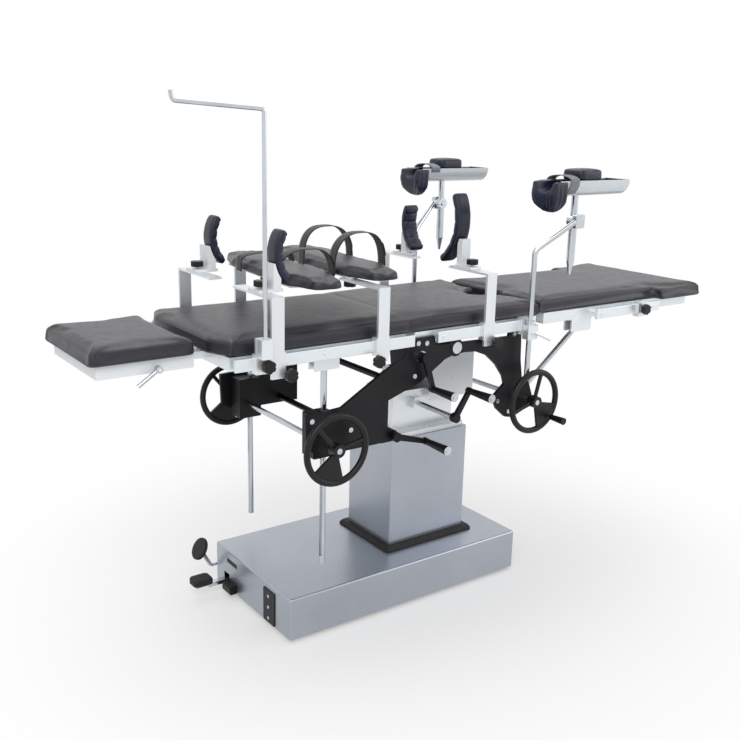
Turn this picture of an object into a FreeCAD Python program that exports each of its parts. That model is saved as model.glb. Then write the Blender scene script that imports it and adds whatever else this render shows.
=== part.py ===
import FreeCAD, Part
import math
import os

# Side-operated operating table with its accessories, lying flat as it is photographed.
# Frame: origin on the floor below the column's axis, +X to the foot end, -Y to the side
# with two of the three handwheels, +Z up. Millimetres.

V = FreeCAD.Vector
X_AXIS = V(1, 0, 0)
Y_AXIS = V(0, 1, 0)
Z_AXIS = V(0, 0, 1)
ORIGIN = V(0, 0, 0)
SIDES = (-1, 1)

# Clearances
AIR = 0.3          # between curved faces of different bodies
RUN = 0.05         # radial running fit of a shaft in its bearing
SIDE_GAP = 0.5     # between flat faces that pass each other

# Table top
TOP_Z = 888.0
PAD_T = 44.0
FRAME_H = 34.0
TUBE_W = 25.5
PAD_HALF = 240.0
RAIL_H = 32.0
RAIL_T = 10.0
RAIL_IN = 250.0
RAIL_SPACER_R = 8.0
PAD_Z = TOP_Z - PAD_T
FRAME_Z = PAD_Z - FRAME_H
HINGE_Z = PAD_Z - FRAME_H / 2
RAIL_Z = HINGE_Z - RAIL_H / 2

# Section joints along the table
HEAD_END_X = -1069.0
HEAD_HINGE_X = -786.0
HEAD_HALF = 172.0
HEAD_GAP = 9.0
BACK_HINGE_X = -190.0
BACK_PAD_GAP = 12.5
SEAT_PAD_GAP = 44.0
CORNER_CUT_X = 32.0
CORNER_CUT_Y = 76.0
LEG_HINGE_X = 318.0
LEG_END_X = 1071.0
LEG_STEP_X = 858.0
FOOT_HALF = 264.0
PERINEAL_R = 62.0
HINGE_PIN_R = 6.0
LUG_R = 12.0
HEAD_LUG_R = 8.9
LEVER_X = -896.0
LEVER_Z = 821.0
LEVER_PIN_R = 4.0

# Base
BASE_X0 = -565.0
BASE_X1 = 275.0
BASE_HALF = 224.0
BASE_TOP = 135.0
COVER_Z = 12.0
SHEET = 2.0
BASE_EDGE = 7.0
CHASSIS_T = 8.0
FOOT_R = 19.0
FOOT_H = 9.0
FOOT_INSET = 40.0
FOOT_STEM_R = 6.0

# Column
SHROUD_HALF_X = 147.0
SHROUD_HALF_Y = 112.0
SHROUD_TOP = 485.0
GASKET_LIP = 23.0
GASKET_H = 14.0
CAP_INSET = 8.0
CAP_T = 15.0
RAM_HALF_X = 118.0
RAM_HALF_Y = 68.0
RAM_WALL = 10.0
RAM_TOP = 618.0
RAM_FOOT = 200.0
CYLINDER_R = 38.0
PISTON_R = 24.0

# Tilting head
ROLL_Z = 655.0
ROLL_R = 14.0
LUG_T = 18.0
TILT_X = -30.0
TILT_Z = 786.0
TILT_R = 12.0
TILT_BOSS_R = 24.0
BOX_X0 = 6.0
BOX_X1 = 184.0
BOX_HALF = 92.0
BOX_Z0 = 582.0
BOX_Z1 = 730.0

# Side frames
SIDE_IN = 235.5
SIDE_T = 10.0
SIDE_OUT = SIDE_IN + SIDE_T

# Back drive
RACK_R = 8.5
RACK_PITCH_IN = 6.0       # from the rack's axis to its pitch line
MODULE = 2.0
TEETH = 13
PITCH_R = MODULE * TEETH / 2
RACK_OFFSET = RACK_PITCH_IN + PITCH_R
DRIVE_Y = 205.0
PINION_W = 18.0
SHAFT_R = 8.0
BACK_RACK_X = -452.0
BACK_SHAFT_X = BACK_RACK_X - RACK_OFFSET
BACK_SHAFT_Z = 577.0
BACK_PIN_Z = 788.0
BACK_RACK_LOW = 212.0
WHEEL_Y = 300.0
WHEEL_R = 100.0
WHEEL_RIM_R = 9.0
PIN_R = 5.0

# Leg drive
LEG_SHAFT_X = 244.0
LEG_SHAFT_Z = 596.0
LEG_RACK_DEG = 38.3
LEG_PIN_ALONG = 330.0
LEG_RACK_TAIL = 40.0

# Accessory clamps on the side rails
POST_W = 36.0
POST_T = 8.0
KNOB_R = 17.0
KNOB_H = 15.0

# Drive teeth, along the rack and across it
TIP_R = 14.7
ROOT_R = 10.2
TOOTH_OUT = 1.5
TOOTH_IN = 2.1
GAP_OUT = 2.9
GAP_IN = 1.2
EYE_R = 11.0
LEG_PINION_W = 12.0
WHEEL_WEB_R = 86.0
LEG_HALF = 221.0
LEG_PAD_HALF = 222.0
HINGE_Y = 120.0
HEAD_HINGE_Z = PAD_Z - 9
SEAT_CROSS_X = 196.0
LEG_PIN_X = LEG_SHAFT_X + math.cos(math.radians(LEG_RACK_DEG)) * LEG_PIN_ALONG \
    + math.sin(math.radians(LEG_RACK_DEG)) * RACK_OFFSET
LEG_PIN_Z = LEG_SHAFT_Z + math.sin(math.radians(LEG_RACK_DEG)) * LEG_PIN_ALONG \
    - math.cos(math.radians(LEG_RACK_DEG)) * RACK_OFFSET

# Cranks
CRANK_R = 8.0
CRANK_A_X = -246.0
CRANK_A_Z = 560.0
CRANK_A_Y0 = 200.0
CRANK_B_X = -34.0
CRANK_B_Z = 580.0
CRANK_C_X = -162.0
CRANK_C_Z = 777.0

# Pedals and the window in the base's end
PUMP_Y = 154.0
PUMP_X = -500.0
PUMP_Z = 36.0
PUMP_PAD_X = -650.0
RELEASE_X = -500.0
RELEASE_Z = 62.0
RELEASE_PAD_X = -634.0
RELEASE_PAD_Y = 190.0
RELEASE_PAD_Z = 138.0
WINDOW_Y = 87.0
WINDOW_W = 64.0
WINDOW_Z = 95.0
WINDOW_H = 15.0
LUG_X = 78.0

# Accessories
PLATE_T = 6.0
SHOULDER_X = -627.0
SHOULDER_TOP = 988.0
SHOE_HALF = 28.0
ARM_NEAR_X = -305.0
ARM_FAR_X = -449.0
ARM_TOP = 985.0
SIDE_NEAR_X = 75.0
SIDE_FAR_X = 85.0
SIDE_TOP = 994.0
SCREEN_X = -672.0
SCREEN_Y = -284.0
SCREEN_R = 5.5
SCREEN_TOP = 1428.0
HOLDER_X = 225.0
HOLDER_Y = -280.0
HOLDER_R = 8.0
BLOCK_X = 350.0
BLOCK_Z = 1135.0
BOOT_Y = 310.0
BOOT_Z = 1254.0
CUP_X0 = 206.0
CUP_X1 = 264.0
CUP_R = 51.0
CUP_DEPTH = 94.0
KNEE_R = 29.0
SHELL_R = 45.0
SHELL_T = 4.0
SHELL_X0 = 236.0
SHELL_X1 = 525.0
LINER_X1 = 508.0
TOP_PAD_X = (316.0, 420.0)
ARM_LEN = 600.0
SWIVEL_R = 8.0
SWIVEL_Y = 105.0
ARM_W = 160.0
ARM_TURN = 5.0
ARM_END_W = 84.0
ARM_STRAIGHT = 340.0
BOARD_NEAR = (-225.0, 90.0)
BOARD_FAR = (-440.0, 45.0)


def box(x0, x1, y0, y1, z0, z1):
    return Part.makeBox(x1 - x0, y1 - y0, z1 - z0, V(x0, y0, z0))


def rod(start, end, radius):
    return Part.makeCylinder(radius, (end - start).Length, start, end - start)


def cross_rod(x, z, y0, y1, radius):
    return rod(V(x, y0, z), V(x, y1, z), radius)


def join(shapes):
    result = shapes[0]
    if len(shapes) > 1:
        result = shapes[0].fuse(shapes[1:])
    return result.removeSplitter()


def mirror_y(shape):
    return shape.mirror(ORIGIN, Y_AXIS)


def both_sides(shape):
    return [shape, mirror_y(shape)]


def plate_xz(points, y0, y1):
    wire = Part.makePolygon([V(x, y0, z) for x, z in points + points[:1]])
    return Part.Face(wire).extrude(V(0, y1 - y0, 0))


def plate_xy(points, z0, z1):
    wire = Part.makePolygon([V(x, y, z0) for x, y in points + points[:1]])
    return Part.Face(wire).extrude(V(0, 0, z1 - z0))


def edges_along(shape, axis):
    found = []
    for edge in shape.Edges:
        if isinstance(edge.Curve, Part.Line) and abs(edge.Curve.Direction.dot(axis)) > 0.999:
            found.append(edge)
    return found


def rounded(shape, radius, axis):
    return shape.makeFillet(radius, edges_along(shape, axis))


def top_edges(shape, z):
    return [e for e in shape.Edges if min(v.Z for v in e.Vertexes) > z - 0.01]


def bent_rod(points, radius, bend):
    """Round bar through the points, with an arc of the given bend radius at each inner point."""
    edges = []
    start = points[0]
    for before, corner, after in zip(points, points[1:], points[2:]):
        into = (before - corner).normalize()
        out = (after - corner).normalize()
        half = into.getAngle(out) / 2
        reach = bend / math.tan(half)
        first = corner + into * reach
        last = corner + out * reach
        middle = corner + (into + out).normalize() * (bend / math.sin(half) - bend)
        edges.append(Part.LineSegment(start, first).toShape())
        edges.append(Part.Arc(first, middle, last).toShape())
        start = last
    edges.append(Part.LineSegment(start, points[-1]).toShape())
    path = Part.Wire(edges)
    ring = Part.Wire(Part.makeCircle(radius, points[0], points[1] - points[0]))
    return path.makePipeShell([ring], True, False)


def star_knob(centre, axis, stem):
    """Six-lobed clamp knob whose stem runs from its centre against the axis."""
    axis = V(axis).normalize()
    side = X_AXIS if abs(axis.dot(X_AXIS)) < 0.9 else Y_AXIS
    side = (side - axis * axis.dot(side)).normalize()
    body = Part.makeCylinder(KNOB_R, KNOB_H, centre, axis)
    notches = []
    for n in range(6):
        turn = FreeCAD.Rotation(axis, 60 * n)
        spot = centre + turn.multVec(side) * (KNOB_R + 3.0)
        notches.append(Part.makeCylinder(5.5, KNOB_H, spot, axis))
    body = body.cut(Part.makeCompound(notches))
    stem_rod = Part.makeCylinder(5.0, stem, centre, axis * -1)
    return body.fuse(stem_rod).removeSplitter()


def save(name, shapes):
    solids = []
    for shape in shapes if isinstance(shapes, list) else [shapes]:
        solids.extend(shape.Solids)
    whole = solids[0] if len(solids) == 1 else Part.makeCompound(solids)
    whole.exportStep("parts/" + name + ".step")


def base():
    cover = box(BASE_X0, BASE_X1, -BASE_HALF, BASE_HALF, COVER_Z, BASE_TOP)
    cover = rounded(cover, BASE_EDGE, Z_AXIS)
    cover = cover.makeFillet(BASE_EDGE - 1, top_edges(cover, BASE_TOP))
    hollow = box(BASE_X0 + SHEET, BASE_X1 - SHEET, -BASE_HALF + SHEET, BASE_HALF - SHEET,
                 COVER_Z, BASE_TOP - SHEET)
    hollow = rounded(hollow, BASE_EDGE - SHEET, Z_AXIS)
    shell = cover.cut(hollow)
    well = box(-SHROUD_HALF_X + 12, SHROUD_HALF_X - 12, -SHROUD_HALF_Y + 12, SHROUD_HALF_Y - 12,
               COVER_Z + 60, BASE_TOP)
    notch = box(BASE_X0 - 1, BASE_X0 + 10, PUMP_Y - 17, PUMP_Y + 17, COVER_Z, 58)
    window = box(BASE_X0 - 1, BASE_X0 + 10, WINDOW_Y, WINDOW_Y + WINDOW_W, WINDOW_Z, WINDOW_Z + WINDOW_H)
    far_pivot = cross_rod(RELEASE_X, RELEASE_Z, BASE_HALF - 10, BASE_HALF + 1, PIN_R)
    shell = shell.cut(Part.makeCompound([well, notch, window, far_pivot]))
    save("base_cover", shell)
    floor = rounded(box(BASE_X0 + SHEET, BASE_X1 - SHEET, -BASE_HALF + SHEET, BASE_HALF - SHEET,
                        COVER_Z, COVER_Z + CHASSIS_T), BASE_EDGE - SHEET, Z_AXIS)
    slot = box(BASE_X0, BASE_X0 + 130, PUMP_Y - 17, PUMP_Y + 17, COVER_Z, COVER_Z + CHASSIS_T)
    cheeks = []
    for side in SIDES:
        inner = PUMP_Y + side * 12
        outer = PUMP_Y + side * 20
        cheek = box(PUMP_X - 14, PUMP_X + 14, min(inner, outer), max(inner, outer),
                    COVER_Z + CHASSIS_T, PUMP_Z + 14)
        cheeks.append(cheek.cut(cross_rod(PUMP_X, PUMP_Z, inner - 9, outer + 9, PIN_R + RUN)))
    floor = join([floor.cut(slot)] + cheeks)
    save("base_chassis", floor)
    feet = []
    for x in (BASE_X0 + FOOT_INSET, BASE_X1 - FOOT_INSET):
        for y in (-BASE_HALF + FOOT_INSET, BASE_HALF - FOOT_INSET):
            disc = rod(V(x, y, 0), V(x, y, FOOT_H), FOOT_R)
            disc = disc.makeChamfer(2.0, top_edges(disc, FOOT_H))
            feet.append(join([disc, rod(V(x, y, FOOT_H), V(x, y, COVER_Z), FOOT_STEM_R)]))
    save("base_feet", feet)
    glass = box(BASE_X0 + 0.5, BASE_X0 + SHEET, WINDOW_Y, WINDOW_Y + WINDOW_W, WINDOW_Z, WINDOW_Z + WINDOW_H)
    block = box(BASE_X0 - 26, BASE_X0, PUMP_Y - 68, PUMP_Y - 20, 17, 44)
    block = block.makeChamfer(4, edges_along(block, Y_AXIS))
    panel = rounded(box(BASE_X0 - 3, BASE_X0, -140, -78, COVER_Z + 2, 116), 3, X_AXIS)
    screws = [rod(V(BASE_X0 - 5, -109, z), V(BASE_X0 - 3, -109, z), 5) for z in (30, 64, 98)]
    save("base_fittings", [glass, block, join([panel] + screws)])


def pedals():
    bar = box(PUMP_PAD_X + 20, PUMP_X, PUMP_Y - 9, PUMP_Y + 9, PUMP_Z - 6, PUMP_Z + 6)
    eye = cross_rod(PUMP_X, PUMP_Z, PUMP_Y - 11.5, PUMP_Y + 11.5, 12)
    pin = cross_rod(PUMP_X, PUMP_Z, PUMP_Y - 23, PUMP_Y + 23, PIN_R)
    plate = box(PUMP_PAD_X - 26, PUMP_PAD_X + 26, PUMP_Y - 20, PUMP_Y + 20, PUMP_Z + 6, PUMP_Z + 12)
    arm = join([bar, eye, pin, plate])
    pad = box(PUMP_PAD_X - 32, PUMP_PAD_X + 30, PUMP_Y - 26, PUMP_Y + 26, PUMP_Z + 12, PUMP_Z + 30)
    pad = rounded(pad, 14, Z_AXIS)
    save("pump_pedal", [arm, pad.makeFillet(6, top_edges(pad, PUMP_Z + 30))])
    arm_y = BASE_HALF + 8
    start = V(RELEASE_X, arm_y, RELEASE_Z)
    knee = V(BASE_X0 - 16, arm_y, RELEASE_Z - 8)
    tip = V(RELEASE_PAD_X, RELEASE_PAD_Y, RELEASE_PAD_Z)
    rod_arm = bent_rod([start, knee, tip], 6, 16)
    boss = cross_rod(RELEASE_X, RELEASE_Z, BASE_HALF + SIDE_GAP, arm_y + 8, 11)
    pin = cross_rod(RELEASE_X, RELEASE_Z, BASE_HALF - SHEET - 2, arm_y, PIN_R - RUN)
    arm = join([rod_arm, boss, pin])
    pad = Part.makeCylinder(34, 12, tip + V(3, 0, 0), V(-0.86, 0, 0.5))
    pad = pad.makeFillet(4, [e for e in pad.Edges if not isinstance(e.Curve, Part.Line)])
    save("release_pedal", [arm, pad.cut(arm)])


def column():
    gasket = box(-SHROUD_HALF_X - GASKET_LIP, SHROUD_HALF_X + GASKET_LIP, -SHROUD_HALF_Y - GASKET_LIP,
                 SHROUD_HALF_Y + GASKET_LIP, BASE_TOP, BASE_TOP + GASKET_H)
    gasket = rounded(gasket, 12, Z_AXIS)
    gasket = gasket.makeChamfer(9, top_edges(gasket, BASE_TOP + GASKET_H))
    body = box(-SHROUD_HALF_X, SHROUD_HALF_X, -SHROUD_HALF_Y, SHROUD_HALF_Y, BASE_TOP, SHROUD_TOP)
    body = rounded(body, 6, Z_AXIS)
    save("column_gasket", gasket.cut(body))
    hollow = rounded(box(-SHROUD_HALF_X + SHEET, SHROUD_HALF_X - SHEET, -SHROUD_HALF_Y + SHEET,
                         SHROUD_HALF_Y - SHEET, BASE_TOP, SHROUD_TOP - SHEET), 4, Z_AXIS)
    mouth = box(-RAM_HALF_X - 6, RAM_HALF_X + 6, -RAM_HALF_Y - 6, RAM_HALF_Y + 6, BASE_TOP, SHROUD_TOP)
    save("column_shroud", body.cut(hollow).cut(mouth))
    cap = rounded(box(-SHROUD_HALF_X + CAP_INSET, SHROUD_HALF_X - CAP_INSET, -SHROUD_HALF_Y + CAP_INSET,
                      SHROUD_HALF_Y - CAP_INSET, SHROUD_TOP, SHROUD_TOP + CAP_T), 10, Z_AXIS)
    cap = cap.makeFillet(3, top_edges(cap, SHROUD_TOP + CAP_T))
    cap = cap.cut(box(-RAM_HALF_X - SIDE_GAP, RAM_HALF_X + SIDE_GAP, -RAM_HALF_Y - SIDE_GAP,
                      RAM_HALF_Y + SIDE_GAP, SHROUD_TOP, SHROUD_TOP + CAP_T))
    bolts = []
    for x in (-SHROUD_HALF_X + 20, 0, SHROUD_HALF_X - 20):
        for y in (-SHROUD_HALF_Y + 22, SHROUD_HALF_Y - 22):
            bolts.append(rod(V(x, y, SHROUD_TOP + CAP_T), V(x, y, SHROUD_TOP + CAP_T + 4), 5.5))
    save("column_cap", join([cap] + bolts))
    foot = COVER_Z + CHASSIS_T
    ram = rod(V(0, 0, foot), V(0, 0, 380), CYLINDER_R)
    ram = ram.cut(rod(V(0, 0, foot + 20), V(0, 0, 380), PISTON_R + RUN))
    save("hydraulic_cylinder", join([ram, box(-60, 60, -60, 60, foot, foot + 12)]))


def lift_head():
    inner = box(-RAM_HALF_X, RAM_HALF_X, -RAM_HALF_Y, RAM_HALF_Y, RAM_FOOT, RAM_TOP)
    inner = rounded(inner, 4, Z_AXIS)
    hollow = box(-RAM_HALF_X + RAM_WALL, RAM_HALF_X - RAM_WALL, -RAM_HALF_Y + RAM_WALL,
                 RAM_HALF_Y - RAM_WALL, RAM_FOOT, RAM_TOP - 20)
    inner = inner.cut(hollow)
    lugs = []
    for x in (-LUG_X, LUG_X):
        lug = box(x - LUG_T / 2, x + LUG_T / 2, -40, 40, RAM_TOP, ROLL_Z)
        cap = rod(V(x - LUG_T / 2, 0, ROLL_Z), V(x + LUG_T / 2, 0, ROLL_Z), 32)
        bore = rod(V(x - LUG_T, 0, ROLL_Z), V(x + LUG_T, 0, ROLL_Z), ROLL_R + RUN)
        lugs.append(join([lug, cap]).cut(bore))
    post = box(CRANK_B_X - 16, CRANK_B_X + 16, -RAM_HALF_Y - 20, -RAM_HALF_Y, CRANK_B_Z - 18, CRANK_B_Z + 18)
    post = rounded(post, 6, Y_AXIS)
    bore = cross_rod(CRANK_B_X, CRANK_B_Z, -RAM_HALF_Y - 21, -RAM_HALF_Y, CRANK_R + RUN)
    save("inner_column", join([inner] + lugs + [post.cut(bore)]))
    save("lift_ram", rod(V(0, 0, 80), V(0, 0, RAM_TOP - 20), PISTON_R))
    guide = []
    for y in (-34, 34):
        guide.append(box(-RAM_HALF_X - 0.4, -RAM_HALF_X, y - 9, y + 9, RAM_FOOT + 4, RAM_TOP - 8))
    save("guide_strips", guide)


def tilt_cradle():
    shaft = rod(V(-LUG_X - 22, 0, ROLL_Z), V(LUG_X + 22, 0, ROLL_Z), ROLL_R)
    web = plate_yz([(-34, ROLL_Z - 24), (34, ROLL_Z - 24), (60, TILT_Z), (-60, TILT_Z)],
                   TILT_X - 15, TILT_X + 15)
    sleeve = cross_rod(TILT_X, TILT_Z, -SIDE_IN + SIDE_GAP, SIDE_IN - SIDE_GAP, TILT_BOSS_R)
    bore = cross_rod(TILT_X, TILT_Z, -SIDE_IN, SIDE_IN, TILT_R + RUN)
    rib = box(-20, 30, -20, 20, ROLL_Z - 20, ROLL_Z + 40)
    save("tilt_cradle", join([shaft, web, rib, sleeve]).cut(bore))
    cover = rounded(box(BOX_X0, BOX_X1, -BOX_HALF, BOX_HALF, BOX_Z0, BOX_Z1), 8, Z_AXIS)
    cover = cover.makeFillet(5, top_edges(cover, BOX_Z1))
    hollow = box(BOX_X0 - 1, BOX_X1 - SHEET, -BOX_HALF + SHEET, BOX_HALF - SHEET, BOX_Z0, BOX_Z1 - SHEET)
    foot = box(BOX_X0, RAM_HALF_X, -BOX_HALF + SHEET, BOX_HALF - SHEET, RAM_TOP - 16, RAM_TOP - 4)
    column_hole = box(-RAM_HALF_X, RAM_HALF_X, -RAM_HALF_Y, RAM_HALF_Y, BOX_Z0, RAM_TOP)
    screw = rod(V(BOX_X0 + 90, -BOX_HALF - 2, BOX_Z0 + 60), V(BOX_X0 + 90, -BOX_HALF, BOX_Z0 + 60), 5)
    save("head_cover", join([cover.cut(hollow), foot.cut(column_hole), screw]))


def plate_yz(points, x0, x1):
    wire = Part.makePolygon([V(x0, y, z) for y, z in points + points[:1]])
    return Part.Face(wire).extrude(V(x1 - x0, 0, 0))


def side_frames():
    outline = [(-203, 830), (-111, 830), (-104, 801), (176, 795), (182, 830), (226, 830), (231, 718),
               (241, 660), (272, 640), (288, 600), (264, 556), (211, 537), (179, 544), (143, 575),
               (124, 613), (169, 649), (161, 674), (130, 714), (91, 747), (45, 765), (3, 768),
               (-42, 764), (-68, 757), (-154, 702), (-266, 665), (-266, 545), (-489, 546), (-530, 572),
               (-534, 663), (-421, 669), (-280, 750), (-212, 782)]
    plates = []
    for side in SIDES:
        plate = plate_xz(outline, -SIDE_OUT, -SIDE_IN)
        boss = cross_rod(TILT_X, TILT_Z, -SIDE_OUT, -SIDE_IN, TILT_BOSS_R + 2)
        plate = join([plate, boss])
        bores = [cross_rod(TILT_X, TILT_Z, -SIDE_OUT - 20, -SIDE_IN + 1, TILT_R),
                 cross_rod(BACK_SHAFT_X, BACK_SHAFT_Z, -SIDE_OUT - 20, -SIDE_IN + 1, SHAFT_R + RUN),
                 cross_rod(LEG_SHAFT_X, LEG_SHAFT_Z, -SIDE_OUT - 20, -SIDE_IN + 1, SHAFT_R + RUN)]
        heads = []
        for x, z in ((-179, 722), (-170, 815), (-392, 603), (-422, 560), (-515, 647), (142, 600),
                     (190, 560), (195, 800), (-140, 812)):
            heads.append(cross_rod(x, z, -SIDE_OUT - 4, -SIDE_OUT, 7))
        if side < 0:
            heads.append(cross_rod(CRANK_C_X, CRANK_C_Z, -SIDE_OUT - 10, -SIDE_OUT, 17))
            bores.append(cross_rod(CRANK_C_X, CRANK_C_Z, -SIDE_OUT - 20, -SIDE_IN + 1, CRANK_R + RUN))
            heads.append(cross_rod(CRANK_A_X, CRANK_A_Z, -SIDE_OUT, -CRANK_A_Y0, 16))
            heads.append(box(CRANK_A_X - 40, CRANK_A_X, -SIDE_OUT, -SIDE_IN, CRANK_A_Z - 16, CRANK_A_Z + 16))
            bores.append(cross_rod(CRANK_A_X, CRANK_A_Z, -SIDE_OUT - 20, -CRANK_A_Y0 + 1, CRANK_R + RUN))
        plate = join([plate] + heads).cut(Part.makeCompound(bores))
        plates.append(plate if side < 0 else mirror_y(plate))
    save("side_frames", plates)
    heads = [cross_rod(TILT_X, TILT_Z, y, y + 6, 17) for y in (-SIDE_OUT - 6, SIDE_OUT)]
    ties = [join([cross_rod(TILT_X, TILT_Z, -SIDE_OUT - 6, SIDE_OUT + 6, TILT_R)] + heads),
            cross_rod(-292, 735, -SIDE_IN, SIDE_IN, 9), cross_rod(-330, 565, -SIDE_IN, SIDE_IN, 9)]
    save("cross_shafts", ties)


def tubes(x0, x1, half, crosses):
    """Welded frame of two side tubes and cross tubes at the given x."""
    bars = []
    for bar in both_sides(box(x0, x1, half - TUBE_W, half, FRAME_Z, PAD_Z)):
        bars.append(bar)
    for x in crosses:
        bars.append(box(x, x + TUBE_W, -half + TUBE_W, half - TUBE_W, FRAME_Z, PAD_Z))
    return bars


def lug(x, z, reach, y0, y1, radius):
    """Hinge plate that runs from a cross tube (reach mm away, signed) round the pin's axis."""
    start, end = sorted((x, x + reach))
    bar = box(start, end, y0, y1, z - radius, z + radius)
    return join([bar, cross_rod(x, z, y0, y1, radius)])


def hinge_set(x, z, fixed_reach, moving_reach, radius=LUG_R):
    """Lug pairs of one fold, both sides: fixed lugs, moving lugs (bored to run) and pins."""
    fixed = []
    moving = []
    pins = []
    for side in SIDES:
        y = side * HINGE_Y
        hole = cross_rod(x, z, y - 20, y + 20, HINGE_PIN_R)
        for offset in (-12, 12):
            fixed.append(lug(x, z, fixed_reach, y + offset - 4, y + offset + 4, radius).cut(hole))
        free = cross_rod(x, z, y - 20, y + 20, HINGE_PIN_R + RUN)
        moving.append(lug(x, z, moving_reach, y - 7.5, y + 7.5, radius).cut(free))
        pins.append(cross_rod(x, z, y - 18, y + 18, HINGE_PIN_R))
    return fixed, moving, pins


def rail(x0, x1, half, spacers, pad_ends):
    """Accessory rail on its spacers, with end stops, on the near side."""
    bar = box(x0, x1, -RAIL_IN - RAIL_T, -RAIL_IN, RAIL_Z, RAIL_Z + RAIL_H)
    bar = bar.makeFillet(1.5, edges_along(bar, X_AXIS))
    parts = [bar]
    for x in spacers:
        parts.append(cross_rod(x, HINGE_Z, -RAIL_IN, -half, RAIL_SPACER_R))
    for x in pad_ends:
        parts.append(cross_rod(x, HINGE_Z, -RAIL_IN - RAIL_T - 3, -RAIL_IN - RAIL_T, 7))
    return join(parts)


def foldings():
    back_half = SIDE_IN - SIDE_GAP
    seat_fixed, back_moving, back_pins = hinge_set(BACK_HINGE_X, HINGE_Z, 18, -18)
    leg_fixed, leg_moving, leg_pins = hinge_set(LEG_HINGE_X, HINGE_Z, -26, 26)
    back_fixed, head_moving, head_pins = hinge_set(HEAD_HINGE_X, HEAD_HINGE_Z, 44, -14, HEAD_LUG_R)
    seat = tubes(BACK_HINGE_X + 16, LEG_HINGE_X - 24, SIDE_IN,
                 (BACK_HINGE_X + 16, SEAT_CROSS_X, LEG_HINGE_X - 24 - TUBE_W))
    stiles = []
    for side in SIDES:
        stiles.append(box(SEAT_CROSS_X, LEG_HINGE_X - 24, side * 110 - 10, side * 110 + 10,
                          FRAME_Z, PAD_Z))
    save("seat_frame", join(seat + stiles + seat_fixed + leg_fixed + back_pins + leg_pins))
    back = tubes(HEAD_HINGE_X + 42, BACK_HINGE_X - 16, back_half,
                 (HEAD_HINGE_X + 42, -500, BACK_HINGE_X - 16 - TUBE_W))
    saddle = box(BACK_RACK_X - 38, BACK_RACK_X + 38, -DRIVE_Y - 17, -DRIVE_Y + 17, FRAME_Z - 5, FRAME_Z)
    back_lugs = [saddle]
    for y in (-DRIVE_Y - 17, -DRIVE_Y + 11):
        back_lugs.append(box(BACK_RACK_X - 38, BACK_RACK_X + 38, y, y + 6, BACK_PIN_Z - 16, FRAME_Z - 5))
    clevis = join(back_lugs)
    back_pieces = back + back_moving + back_fixed + head_pins + both_sides(clevis)
    save("back_frame", join(back_pieces))
    leg = tubes(LEG_HINGE_X + 24, LEG_END_X - 30, LEG_HALF,
                (LEG_HINGE_X + 24, 600, LEG_STEP_X - 10, LEG_END_X - 30 - TUBE_W))
    saddle = box(LEG_PIN_X - 44, LEG_PIN_X + 46, -DRIVE_Y - 17, -DRIVE_Y + 17, FRAME_Z - 5, FRAME_Z)
    leg_lugs = [saddle]
    for y in (-DRIVE_Y - 17, -DRIVE_Y + 11):
        leg_lugs.append(box(LEG_PIN_X - 44, LEG_PIN_X + 46, y, y + 6, LEG_PIN_Z - 16, FRAME_Z - 5))
    clevis = join(leg_lugs)
    save("leg_frame", join(leg + leg_moving + both_sides(clevis)))
    head_z1 = PAD_Z
    head = [box(HEAD_END_X + 24, HEAD_HINGE_X - 12, side * 140 - 11, side * 140 + 11, FRAME_Z, head_z1)
            for side in SIDES]
    head.append(box(HEAD_HINGE_X - 12 - TUBE_W, HEAD_HINGE_X - 12, -HINGE_Y - 20, HINGE_Y + 20,
                    FRAME_Z, head_z1))
    head.append(box(HEAD_END_X + 24, HEAD_END_X + 24 + TUBE_W, -140, 140, FRAME_Z, head_z1))
    head.append(cross_rod(LEVER_X, LEVER_Z, -174, -150, LEVER_PIN_R))
    save("head_frame", join(head + head_moving))
    lever = join([cross_rod(LEVER_X, LEVER_Z, -172, -158, 9),
                  rod(V(LEVER_X, -165, LEVER_Z), V(LEVER_X - 54, -165, LEVER_Z - 36), 5)])
    save("head_lever", lever.cut(cross_rod(LEVER_X, LEVER_Z, -175, -157, LEVER_PIN_R + RUN)))
    spacer = (BACK_HINGE_X - 50, -460, -700)
    save("back_rails", both_sides(rail(-740, BACK_HINGE_X - 2, back_half, spacer, (-717, -480))))
    save("seat_rails", both_sides(rail(-109, 264, SIDE_IN, (-84, 90, 248), (-84, 256))))
    save("leg_rails", both_sides(rail(543, LEG_STEP_X - 8, LEG_HALF, (570, 820), (570, 820))))
    cushions()


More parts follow.
